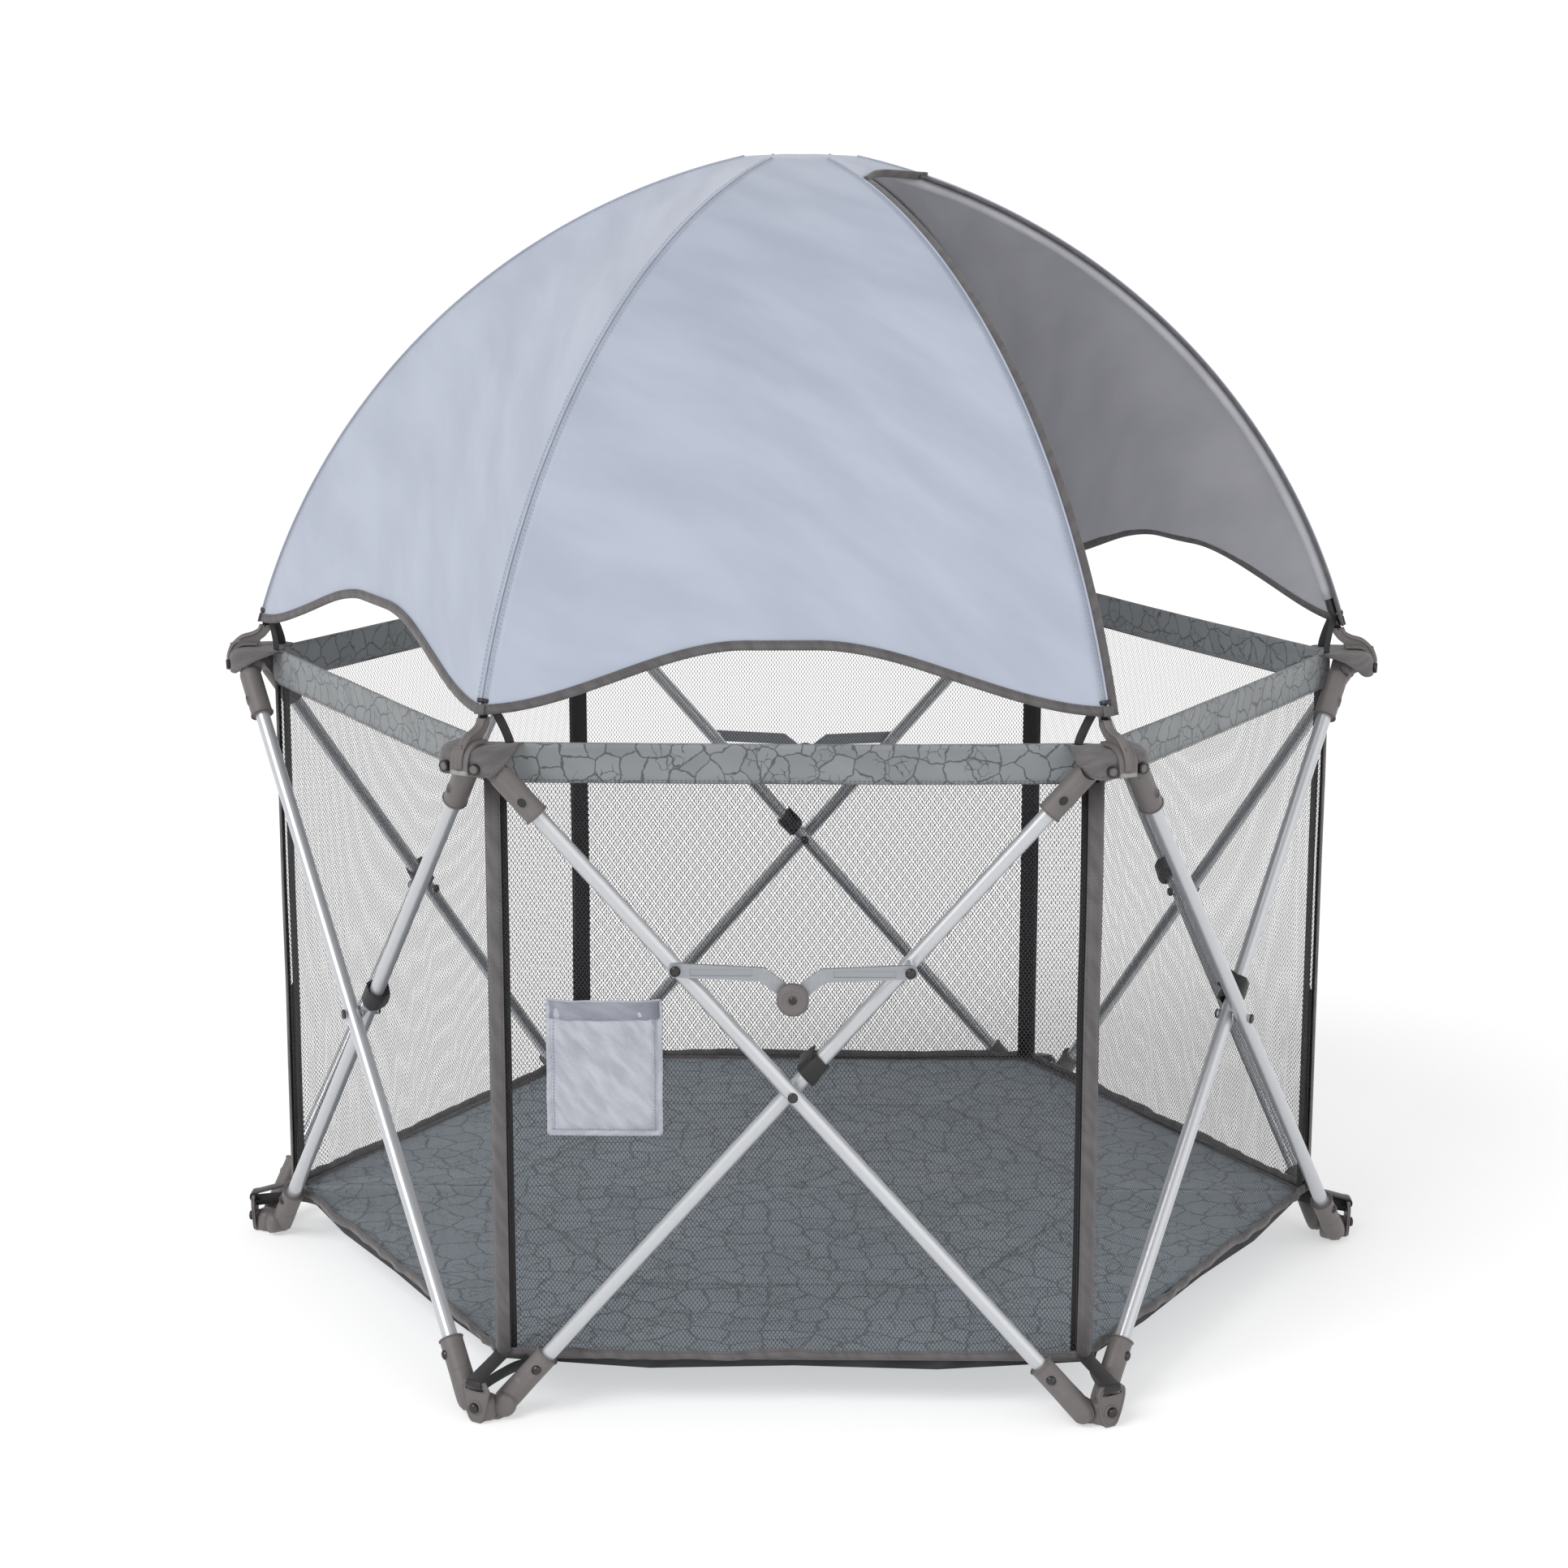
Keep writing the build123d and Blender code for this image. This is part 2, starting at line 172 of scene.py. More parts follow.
def weaveGroup():
    # plain weave: raised threads over and under, with uneven yarn
    g, i, o = newGroup("fabric weave", [
        ("Coordinates", "NodeSocketVector", None), ("Thread", "NodeSocketFloat", 0.0005),
        ("Unevenness", "NodeSocketFloat", 0.3)], [("Height", "NodeSocketFloat"), ("Tone", "NodeSocketFloat")])
    turns = maths(g, "DIVIDE", math.pi, i.outputs["Thread"])
    scaled = vectors(g, "SCALE", i.outputs["Coordinates"], scale=turns)
    parts = put(g, "ShaderNodeSeparateXYZ")
    feed(g, scaled, parts.inputs[0])
    over = maths(g, "MULTIPLY", maths(g, "SINE", parts.outputs[0]), maths(g, "SINE", parts.outputs[1]))
    slub = noiseOf(g, vectors(g, "MULTIPLY", i.outputs["Coordinates"], (900.0, 60.0, 1.0)), 1.0, 2)
    across = noiseOf(g, vectors(g, "MULTIPLY", i.outputs["Coordinates"], (60.0, 900.0, 1.0)), 1.0, 2)
    yarn = maths(g, "SUBTRACT", maths(g, "ADD", slub, across), 1.0)
    uneven = maths(g, "MULTIPLY", yarn, i.outputs["Unevenness"])
    feed(g, maths(g, "ADD", maths(g, "MULTIPLY_ADD", over, 0.5, 0.5), uneven), o.inputs["Height"])
    feed(g, maths(g, "MULTIPLY_ADD", uneven, 0.8, 0.5), o.inputs["Tone"])
    return g


def crackleGroup():
    # a printed pattern of dry-earth cracks: large cells, with finer cracks inside some of them
    g, i, o = newGroup("crackle print", [
        ("Coordinates", "NodeSocketVector", None), ("Cell", "NodeSocketFloat", 0.03),
        ("Line", "NodeSocketFloat", 0.05)], [("Lines", "NodeSocketFloat"), ("Tone", "NodeSocketFloat")])
    scale = maths(g, "DIVIDE", 1.0, i.outputs["Cell"])
    place = vectors(g, "SCALE", i.outputs["Coordinates"], scale=scale)
    shift = put(g, "ShaderNodeTexNoise")
    feed(g, place, shift.inputs["Vector"])
    shift.inputs["Scale"].default_value = 1.7
    shift.inputs["Detail"].default_value = 4.0
    moved = vectors(g, "SCALE", vectors(g, "SUBTRACT", shift.outputs["Color"], (0.5, 0.5, 0.5)), scale=0.55)
    warped = vectors(g, "ADD", place, moved)

    def edge(zoom, wide):
        cells = put(g, "ShaderNodeTexVoronoi", voronoi_dimensions="2D", feature="DISTANCE_TO_EDGE")
        feed(g, warped, cells.inputs["Vector"])
        cells.inputs["Scale"].default_value = zoom
        thick = maths(g, "MULTIPLY", i.outputs["Line"], wide)
        return ramp(g, cells.outputs["Distance"], maths(g, "MULTIPLY", thick, 0.45), thick, 1.0, 0.0)

    large = edge(1.0, 1.0)
    fine = edge(2.1, 1.1)
    where = ramp(g, noiseOf(g, place, 0.6, 1), 0.5, 0.56)
    feed(g, maths(g, "MAXIMUM", large, maths(g, "MULTIPLY", fine, where)), o.inputs["Lines"])
    tone = put(g, "ShaderNodeTexVoronoi", voronoi_dimensions="2D", feature="F1")
    feed(g, warped, tone.inputs["Vector"])
    tone.inputs["Scale"].default_value = 1.0
    parts = put(g, "ShaderNodeSeparateColor")
    feed(g, tone.outputs["Color"], parts.inputs[0])
    feed(g, parts.outputs[0], o.inputs["Tone"])
    return g


def netGroup():
    # knitted net: round-cornered holes in staggered rows; threads are thicker where they join
    g, i, o = newGroup("hexagon net", [
        ("Coordinates", "NodeSocketVector", None), ("Pitch", "NodeSocketFloat", 0.0041),
        ("Row", "NodeSocketFloat", 0.0029), ("Hole", "NodeSocketFloat", 0.0016)],
        [("Threads", "NodeSocketFloat"), ("Height", "NodeSocketFloat")])
    parts = put(g, "ShaderNodeSeparateXYZ")
    feed(g, i.outputs["Coordinates"], parts.inputs[0])
    twoRows = maths(g, "MULTIPLY", i.outputs["Row"], 2.0)

    def toCentre(value, pitch, offset):
        turn = maths(g, "ADD", maths(g, "DIVIDE", value, pitch), offset)
        near = maths(g, "SUBTRACT", maths(g, "FRACT", turn), 0.5)
        return maths(g, "MULTIPLY", maths(g, "ABSOLUTE", near), pitch)

    def hexagon(offset):
        x = toCentre(parts.outputs[0], i.outputs["Pitch"], offset)
        y = toCentre(parts.outputs[1], twoRows, offset)
        slant = maths(g, "ADD", maths(g, "MULTIPLY", x, 0.5), maths(g, "MULTIPLY", y, 0.9))
        return maths(g, "SMOOTH_MAX", x, slant, 0.0006)

    gap = maths(g, "MINIMUM", hexagon(0.0), hexagon(0.5))
    soft = maths(g, "MULTIPLY", i.outputs["Hole"], 0.86)
    feed(g, ramp(g, gap, soft, i.outputs["Hole"]), o.inputs["Threads"])
    feed(g, ramp(g, gap, i.outputs["Hole"], maths(g, "MULTIPLY", i.outputs["Hole"], 1.35)),
         o.inputs["Height"])
    return g


def grainGroup():
    # moulded plastic: fine spark texture with a slow change of tone
    g, i, o = newGroup("moulded grain", [
        ("Coordinates", "NodeSocketVector", None), ("Grain", "NodeSocketFloat", 2600.0)],
        [("Height", "NodeSocketFloat"), ("Tone", "NodeSocketFloat")])
    fine = noiseOf(g, i.outputs["Coordinates"], i.outputs["Grain"], 2)
    slow = noiseOf(g, i.outputs["Coordinates"], 45.0, 3)
    feed(g, fine, o.inputs["Height"])
    feed(g, maths(g, "ADD", maths(g, "MULTIPLY", fine, 0.35), maths(g, "MULTIPLY", slow, 0.65)),
         o.inputs["Tone"])
    return g


def wearGroup():
    # rubbed edges and settled dust
    g, i, o = newGroup("edge wear", [
        ("Coordinates", "NodeSocketVector", None), ("Amount", "NodeSocketFloat", 0.5)],
        [("Edge", "NodeSocketFloat"), ("Dust", "NodeSocketFloat")])
    form = put(g, "ShaderNodeNewGeometry")
    breakup = noiseOf(g, i.outputs["Coordinates"], 260.0, 4, 0.6)
    edge = ramp(g, form.outputs["Pointiness"], 0.53, 0.62)
    worn = maths(g, "MULTIPLY", edge, ramp(g, breakup, 0.35, 0.6))
    feed(g, maths(g, "MULTIPLY", worn, i.outputs["Amount"]), o.inputs["Edge"])
    parts = put(g, "ShaderNodeSeparateXYZ")
    feed(g, form.outputs["Normal"], parts.inputs[0])
    up = ramp(g, parts.outputs[2], 0.3, 1.0)
    dust = maths(g, "MULTIPLY", maths(g, "MULTIPLY", up, i.outputs["Amount"]), ramp(g, breakup, 0.4, 0.75))
    feed(g, dust, o.inputs["Dust"])
    return g


def creaseGroup():
    # slack cloth: long soft creases, for a little height and, as Tone, for painted shade in their hollows and
    # painted light on their ridges
    g, i, o = newGroup("cloth creases", [
        ("Coordinates", "NodeSocketVector", None), ("Size", "NodeSocketFloat", 6.0),
        ("Slant", "NodeSocketFloat", 0.6)], [("Height", "NodeSocketFloat"), ("Tone", "NodeSocketFloat")])
    turned = put(g, "ShaderNodeVectorRotate", rotation_type="Z_AXIS")
    feed(g, i.outputs["Coordinates"], turned.inputs["Vector"])
    feed(g, i.outputs["Slant"], turned.inputs["Angle"])
    drawn = vectors(g, "MULTIPLY", turned.outputs[0], (1.0, 3.4, 1.0))
    long = noiseOf(g, drawn, i.outputs["Size"], 3, 0.45)
    small = noiseOf(g, i.outputs["Coordinates"], maths(g, "MULTIPLY", i.outputs["Size"], 9.0), 3, 0.5)
    feed(g, maths(g, "ADD", long, maths(g, "MULTIPLY", small, 0.12)), o.inputs["Height"])
    # Tone is the creases' own height again: painted shade in the hollows, painted light on the ridges
    feed(g, long, o.inputs["Tone"])
    return g


groups = {"weave": weaveGroup(), "crackle": crackleGroup(), "net": netGroup(), "grain": grainGroup(),
          "wear": wearGroup(), "creases": creaseGroup()}


def useGroup(tree, name, where, **values):
    node = put(tree, "ShaderNodeGroup", node_tree=groups[name])
    feed(tree, where, node.inputs["Coordinates"])
    for key, value in values.items():
        feed(tree, value, node.inputs[key.capitalize()])
    return node.outputs


def newMaterial(name, **fixed):
    # fixed values are set straight on the shader's own sockets
    material = bpy.data.materials.new(name)
    material.use_nodes = True
    shader = material.node_tree.nodes["Principled BSDF"]
    for key, value in fixed.items():
        shader.inputs[key.replace("_", " ")].default_value = value
    return material, material.node_tree, shader


def bump(tree, shader, height, distance, strength=1.0):
    node = put(tree, "ShaderNodeBump")
    node.inputs["Distance"].default_value = distance
    node.inputs["Strength"].default_value = strength
    feed(tree, height, node.inputs["Height"])
    feed(tree, node.outputs[0], shader.inputs["Normal"])


def uvOf(tree):
    return put(tree, "ShaderNodeUVMap").outputs[0]


def solidOf(tree):
    return put(tree, "ShaderNodeTexCoord").outputs["Object"]


def coatedMetal(name, look):
    material, tree, shader = newMaterial(name, Metallic=look["metal"], Specular_IOR_Level=0.5)
    where = solidOf(tree)
    grain = useGroup(tree, "grain", where, grain=look["grain"])
    wear = useGroup(tree, "wear", where, amount=0.12)
    tone = blendColour(tree, grain["Tone"], look["dark"], look["light"])
    worn = blendColour(tree, wear["Edge"], tone, look["worn"])
    feed(tree, blendColour(tree, wear["Dust"], worn, look["dust"]), shader.inputs["Base Color"])
    rough = maths(tree, "MULTIPLY_ADD", grain["Tone"], 0.07, look["rough"])
    feed(tree, maths(tree, "ADD", rough, maths(tree, "MULTIPLY", wear["Dust"], 0.2)),
         shader.inputs["Roughness"])
    bump(tree, shader, grain["Height"], 0.00004, 0.5)
    return material


def mouldedPlastic(name, look):
    material, tree, shader = newMaterial(name, Specular_IOR_Level=look["shine"])
    where = solidOf(tree)
    grain = useGroup(tree, "grain", where, grain=look["grain"])
    wear = useGroup(tree, "wear", where, amount=look["wear"])
    tone = blendColour(tree, grain["Tone"], look["dark"], look["light"])
    worn = blendColour(tree, wear["Edge"], tone, look["worn"])
    feed(tree, blendColour(tree, wear["Dust"], worn, look["dust"]), shader.inputs["Base Color"])
    feed(tree, maths(tree, "MULTIPLY_ADD", grain["Tone"], 0.2, look["rough"]), shader.inputs["Roughness"])
    bump(tree, shader, grain["Height"], look["depth"], 0.6)
    return material


def wovenCloth(name, look):
    sheen = {"Sheen_Weight": look["sheen"], "Sheen_Roughness": 0.4, "Specular_IOR_Level": look["shine"]}
    material, tree, shader = newMaterial(name, **sheen)
    where = uvOf(tree)
    weave = useGroup(tree, "weave", where, thread=look["thread"], unevenness=look["uneven"])
    crease = useGroup(tree, "creases", where, size=look["crease"], slant=look.get("slant", 0.6))
    # painted shade and light: the cloth runs from the dark colour in the crease hollows to the light colour on the
    # ridges
    tone = blendColour(tree, ramp(tree, crease["Tone"], 0.3, 0.7), look["dark"], look["light"])
    yarn = maths(tree, "MULTIPLY", weave["Tone"], 0.25)
    feed(tree, blendColour(tree, yarn, tone, look["yarn"]), shader.inputs["Base Color"])
    feed(tree, maths(tree, "MULTIPLY_ADD", weave["Height"], 0.15, look["rough"]), shader.inputs["Roughness"])
    height = maths(tree, "ADD", maths(tree, "MULTIPLY", weave["Height"], look["threadDepth"]),
                   maths(tree, "MULTIPLY", crease["Height"], look["creaseDepth"]))
    bump(tree, shader, height, 1.0, 0.8)
    return material


def printedCloth(name, look):
    material, tree, shader = newMaterial(name, Sheen_Weight=look["sheen"], Sheen_Roughness=0.5,
                                         Specular_IOR_Level=0.3)
    where = uvOf(tree)
    weave = useGroup(tree, "weave", where, thread=0.0006, unevenness=0.5)
    cracks = useGroup(tree, "crackle", where, cell=look["cell"], line=look["line"])
    crease = useGroup(tree, "creases", where, size=look["crease"])
    patch = maths(tree, "MULTIPLY_ADD", cracks["Tone"], 0.5, 0.2)
    ground = blendColour(tree, patch, look["dark"], look["light"])
    # painted light: the crease ridges are blended towards the light colour, over the real print patches
    raised = maths(tree, "MULTIPLY", ramp(tree, crease["Tone"], 0.35, 0.7), 0.4)
    groundWithPaintedRidgeLight = blendColour(tree, raised, ground, look["light"])
    ink = maths(tree, "MULTIPLY_ADD", weave["Tone"], 0.3, look["ink"])
    faded = maths(tree, "MULTIPLY", cracks["Lines"], ink)
    feed(tree, blendColour(tree, faded, groundWithPaintedRidgeLight, look["inkColour"]), shader.inputs["Base Color"])
    feed(tree, maths(tree, "MULTIPLY_ADD", weave["Tone"], 0.2, 0.62), shader.inputs["Roughness"])
    height = maths(tree, "ADD", maths(tree, "MULTIPLY", weave["Height"], 0.00010),
                   maths(tree, "MULTIPLY", crease["Height"], look["creaseDepth"]))
    bump(tree, shader, height, 1.0, 0.8)
    return material


def netCloth(name, look):
    material, tree, shader = newMaterial(name, Roughness=0.65, Sheen_Weight=0.15, Specular_IOR_Level=0.35)
    where = uvOf(tree)
    net = useGroup(tree, "net", where, pitch=look["pitch"], row=look["row"], hole=look["hole"])
    slub = noiseOf(tree, where, 400.0, 2)
    feed(tree, blendColour(tree, slub, look["dark"], look["light"]), shader.inputs["Base Color"])
    feed(tree, net["Threads"], shader.inputs["Alpha"])
    bump(tree, shader, net["Height"], 0.0003, 0.7)
    return material


def ribbedTape(name, look):
    material, tree, shader = newMaterial(name, Sheen_Weight=look["sheen"], Sheen_Roughness=0.4,
                                         Specular_IOR_Level=look["shine"])
    where = uvOf(tree)
    parts = put(tree, "ShaderNodeSeparateXYZ")
    feed(tree, where, parts.inputs[0])
    ribs = maths(tree, "SINE", maths(tree, "MULTIPLY", parts.outputs[1], 2 * math.pi / look["rib"]))
    weave = useGroup(tree, "weave", where, thread=look["rib"] * 0.7, unevenness=0.5)
    # painted shade in the grooves between the ribs and painted light on their tops, with the real uneven yarn
    # added
    lit = maths(tree, "MULTIPLY_ADD", ribs, 0.18, 0.35)
    tone = maths(tree, "ADD", lit, maths(tree, "MULTIPLY", weave["Tone"], 0.3))
    feed(tree, blendColour(tree, tone, look["dark"], look["light"]), shader.inputs["Base Color"])
    feed(tree, maths(tree, "MULTIPLY_ADD", ribs, -0.06, look["rough"]), shader.inputs["Roughness"])
    bump(tree, shader, maths(tree, "ADD", ribs, weave["Height"]), look["depth"], 0.7)
    return material


print("shader groups ready")

silver = {"metal": 0.6, "grain": 1800.0, "dark": srgb(186, 188, 192), "light": srgb(191, 193, 196),
          "worn": srgb(206, 208, 210), "dust": srgb(184, 184, 184), "rough": 0.26}
linkSilver = dict(silver, dark=srgb(144, 147, 152), light=srgb(156, 159, 163), rough=0.36)
taupe = {"grain": 2400.0, "dark": srgb(92, 87, 87), "light": srgb(110, 105, 104), "worn": srgb(132, 127, 126),
         "dust": srgb(120, 116, 114), "rough": 0.40, "wear": 0.15, "depth": 0.00010, "shine": 0.45}
black = {"grain": 1900.0, "dark": srgb(20, 20, 22), "light": srgb(34, 34, 36), "worn": srgb(62, 62, 64),
         "dust": srgb(60, 59, 58), "rough": 0.24, "wear": 0.35, "depth": 0.00005, "shine": 0.5}
materials = {
    "tube": coatedMetal("silver coat", silver),
    "link": coatedMetal("link coat", linkSilver),
    "taupe": mouldedPlastic("taupe moulding", taupe),
    "black": mouldedPlastic("black moulding", black),
    "pole": mouldedPlastic("pole sleeve black", dict(black, rough=0.4, light=srgb(44, 44, 47))),
    "rivet": coatedMetal("dark rivet", {
        "metal": 0.9, "grain": 900.0, "rough": 0.22, "dark": srgb(48, 47, 47), "light": srgb(82, 81, 80),
        "worn": srgb(150, 148, 146), "dust": srgb(90, 88, 86)}),
    # for the woven cloths, dark is painted shade in the crease hollows and light is painted light on the crease
    # ridges; yarn is the real uneven yarn
    "canopy": wovenCloth("canopy outside", {
        "dark": srgb(152, 159, 175), "light": srgb(164, 171, 186), "yarn": srgb(174, 180, 192),
        "thread": 0.00045, "uneven": 0.5, "crease": 5.0, "sheen": 0.3, "shine": 0.45, "rough": 0.42,
        "threadDepth": 0.00006, "creaseDepth": 0.004}),
    "lining": wovenCloth("canopy lining", {
        "dark": srgb(166, 166, 173), "light": srgb(178, 178, 185), "yarn": srgb(190, 190, 195),
        "thread": 0.00045, "uneven": 0.6, "crease": 5.0, "sheen": 0.15, "shine": 0.35, "rough": 0.6,
        "threadDepth": 0.00007, "creaseDepth": 0.003}),
    # for the printed cloths, dark and light are the real print patches, and light is also painted on the crease
    # ridges
    "band": printedCloth("band print", {
        "dark": srgb(116, 119, 121), "light": srgb(134, 138, 140), "inkColour": srgb(76, 79, 81),
        "ink": 0.75, "cell": 0.025, "line": 0.046, "crease": 9.0, "sheen": 0.2, "creaseDepth": 0.002}),
    "mat": printedCloth("mat print", {
        "dark": srgb(118, 129, 138), "light": srgb(136, 147, 155), "inkColour": srgb(72, 80, 88),
        "ink": 0.62, "cell": 0.036, "line": 0.055, "crease": 5.0, "sheen": 0.2, "creaseDepth": 0.003}),
    "net": netCloth("wall net", {
        "dark": srgb(34, 34, 37), "light": srgb(58, 58, 62),
        "pitch": 0.0041, "row": 0.0029, "hole": 0.00176}),
    "tape": wovenCloth("taupe tape", {
        "dark": srgb(78, 75, 76), "light": srgb(94, 91, 92), "yarn": srgb(114, 111, 111),
        "thread": 0.0006, "uneven": 0.6, "crease": 30.0, "sheen": 0.2, "shine": 0.3, "rough": 0.62,
        "threadDepth": 0.0001, "creaseDepth": 0.0006}),
    "cover": wovenCloth("corner cover cloth", {
        "dark": srgb(84, 81, 82), "light": srgb(102, 99, 100), "yarn": srgb(124, 120, 121),
        "thread": 0.0007, "uneven": 0.7, "crease": 24.0, "sheen": 0.25, "shine": 0.3, "rough": 0.6,
        "threadDepth": 0.00012, "creaseDepth": 0.0014}),
    "under": wovenCloth("mat underside", {
        "dark": srgb(30, 30, 33), "light": srgb(46, 46, 50), "yarn": srgb(64, 64, 68),
        "thread": 0.0007, "uneven": 0.6, "crease": 14.0, "sheen": 0.1, "shine": 0.3, "rough": 0.7,
        "threadDepth": 0.0001, "creaseDepth": 0.002}),
    "pouch": wovenCloth("pouch nylon", {
        "dark": srgb(146, 148, 159), "light": srgb(170, 172, 181), "yarn": srgb(186, 188, 196),
        "thread": 0.0004, "uneven": 0.5, "crease": 26.0, "slant": 0.9, "sheen": 0.2, "shine": 0.55,
        "rough": 0.3, "threadDepth": 0.00004, "creaseDepth": 0.006}),
    # for the ribbed tapes, dark and light are painted shade and painted light across the ribs
    "webbing": ribbedTape("black webbing", {
        "dark": srgb(14, 14, 15), "light": srgb(48, 48, 50), "rib": 0.0016, "sheen": 0.15, "shine": 0.4,
        "rough": 0.5, "depth": 0.00015}),
    "blackTape": ribbedTape("black inner tape", {
        "dark": srgb(16, 16, 17), "light": srgb(46, 46, 48), "rib": 0.0022, "sheen": 0.1, "shine": 0.35,
        "rough": 0.55, "depth": 0.00012}),
    "elastic": ribbedTape("black elastic", {
        "dark": srgb(16, 16, 17), "light": srgb(54, 54, 57), "rib": 0.0011, "sheen": 0.2, "shine": 0.35,
        "rough": 0.6, "depth": 0.0001}),
    "thread": wovenCloth("sewing thread", {
        "dark": srgb(120, 124, 134), "light": srgb(140, 144, 154), "yarn": srgb(170, 172, 180),
        "thread": 0.0003, "uneven": 0.3, "crease": 60.0, "sheen": 0.2, "shine": 0.4, "rough": 0.5,
        "threadDepth": 0.00005, "creaseDepth": 0.0001}),
    "pale": wovenCloth("pale tape", {
        "dark": srgb(136, 137, 134), "light": srgb(150, 151, 148), "yarn": srgb(166, 167, 164),
        "thread": 0.0006, "uneven": 0.5, "crease": 40.0, "sheen": 0.2, "shine": 0.4, "rough": 0.5,
        "threadDepth": 0.0001, "creaseDepth": 0.0003}),
    "pouchHem": wovenCloth("pouch hem nylon", {
        "dark": srgb(116, 118, 131), "light": srgb(138, 140, 152), "yarn": srgb(158, 160, 170),
        "thread": 0.0004, "uneven": 0.5, "crease": 26.0, "slant": 0.3, "sheen": 0.2, "shine": 0.55,
        "rough": 0.3, "threadDepth": 0.00004, "creaseDepth": 0.004}),
    "darkThread": wovenCloth("dark sewing thread", {
        "dark": srgb(64, 62, 62), "light": srgb(84, 82, 82), "yarn": srgb(104, 101, 101),
        "thread": 0.0003, "uneven": 0.3, "crease": 60.0, "sheen": 0.2, "shine": 0.4, "rough": 0.5,
        "threadDepth": 0.00005, "creaseDepth": 0.0001}),
}
print("materials ready")


# mesh helpers

def makePiece(name, points, faces, material, place=None, uvs=None):
    mesh = bpy.data.meshes.new(name)
    mesh.from_pydata([tuple(p) for p in points], [], faces)
    if uvs is not None:
        layer = mesh.uv_layers.new(name="UVMap")
        index = np.zeros(len(mesh.loops), np.int32)
        mesh.loops.foreach_get("vertex_index", index)
        layer.data.foreach_set("uv", np.array(uvs, np.float32)[index].ravel())
    if place is not None:
        mesh.transform(place)
    mesh.materials.append(materials[material])
    mesh.polygons.foreach_set("use_smooth", [True] * len(mesh.polygons))
    mesh.update()
    made = bpy.data.objects.new(name, mesh)
    bpy.context.scene.collection.objects.link(made)
    return made


def gridFaces(rows, columns, wrap=False, start=0):
    faces = []
    across = columns if wrap else columns - 1
    for r in range(rows - 1):
        for c in range(across):
            a = start + r * columns + c
            b = start + r * columns + (c + 1) % columns
            faces.append((a, b, b + columns, a + columns))
    return faces


def sheetPiece(name, rows, columns, where, uv, material, place=None):
    # an open sheet: where(s, t) gives its point and uv(s, t) its place in the cloth, in metres
    points = [where(c / (columns - 1), r / (rows - 1)) for r in range(rows) for c in range(columns)]
    uvs = [uv(c / (columns - 1), r / (rows - 1)) for r in range(rows) for c in range(columns)]
    return makePiece(name, points, gridFaces(rows, columns), material, place, uvs)


def addThickness(piece, thickness, offset=-1.0, inner=None):
    if inner:
        piece.data.materials.append(materials[inner])
    solid = piece.modifiers.new("thickness", "SOLIDIFY")
    solid.thickness = thickness
    solid.offset = offset
    if inner:
        solid.material_offset = 1
    return piece


def smoothPath(points, spacing):
    # an even Catmull-Rom line through the points
    points = [Vector(p) for p in points]
    ends = [2 * points[0] - points[1]] + points + [2 * points[-1] - points[-2]]
    line = []
    for k in range(1, len(ends) - 2):
        a, b, c, d = ends[k - 1:k + 3]
        steps = max(2, int((c - b).length / spacing) + 1)
        for n in range(steps):
            t = n / steps
            line.append(0.5 * ((2 * b) + (c - a) * t + (2 * a - 5 * b + 4 * c - d) * t * t
                               + (3 * b - a - 3 * c + d) * t ** 3))
    line.append(points[-1])
    return line


def lengthsAlong(line):
    total, out = 0.0, [0.0]
    for a, b in zip(line, line[1:]):
        total += (b - a).length
        out.append(total)
    return out


def sweepPiece(name, line, section, sideways, material, place=None, closed=False):
    # sweeps a section of (across, up) points along a line; sideways(k) is the across direction there
    points, uvs, count = [], [], len(section)
    along = lengthsAlong(line)
    girth = [0.0]
    for k in range(1, count):
        step = math.hypot(section[k][0] - section[k - 1][0], section[k][1] - section[k - 1][1])
        girth.append(girth[-1] + step)
    last = len(line) - 1
    for k, p in enumerate(line):
        ahead = line[(k + 1) % len(line)] if closed else line[min(k + 1, last)]
        behind = line[k - 1] if closed or k else line[0]
        forward = (ahead - behind).normalized()
        across = sideways(k)
        across = (across - forward * across.dot(forward)).normalized()
        up = across.cross(forward)
        for m, (x, y) in enumerate(section):
            points.append(p + across * x + up * y)
            uvs.append((girth[m], along[k]))
    faces = gridFaces(len(line), count, wrap=True)
    if closed:
        base = last * count
        for m in range(count):
            n = (m + 1) % count
            faces.append((base + m, base + n, n, m))
    else:
        faces.append(tuple(range(count - 1, -1, -1)))
        faces.append(tuple(last * count + m for m in range(count)))
    return makePiece(name, points, faces, material, place, uvs)


def strapSection(width, thickness, steps=3):
    # a flat strap with rounded edges
    half, r = width / 2, thickness / 2
    section = []
    for centre, turn in ((half - r, -90), (-half + r, 90)):
        for k in range(steps + 1):
            a = math.radians(turn + 180 * k / steps)
            section.append((centre + r * math.cos(a), r * math.sin(a)))
    return section


def roundSection(radius, steps=10):
    return [(radius * math.cos(2 * math.pi * k / steps), radius * math.sin(2 * math.pi * k / steps))
            for k in range(steps)]


def turnedPiece(name, profile, material, place, steps=28):
    # a turned shape about Z from its (radius, height) outline
    points, uvs = [], []
    for r, h in profile:
        for k in range(steps):
            a = 2 * math.pi * k / steps
            points.append((r * math.cos(a), r * math.sin(a), h))
            uvs.append((a * max(r, 0.001), h))
    faces = gridFaces(len(profile), steps, wrap=True)
    faces.append(tuple(range(steps - 1, -1, -1)))
    faces.append(tuple((len(profile) - 1) * steps + k for k in range(steps)))
    return makePiece(name, points, faces, material, place, uvs)


outwards = Vector((1, 0, 0))
sideways = Vector((0, 1, 0))
upwards = Vector((0, 0, 1))


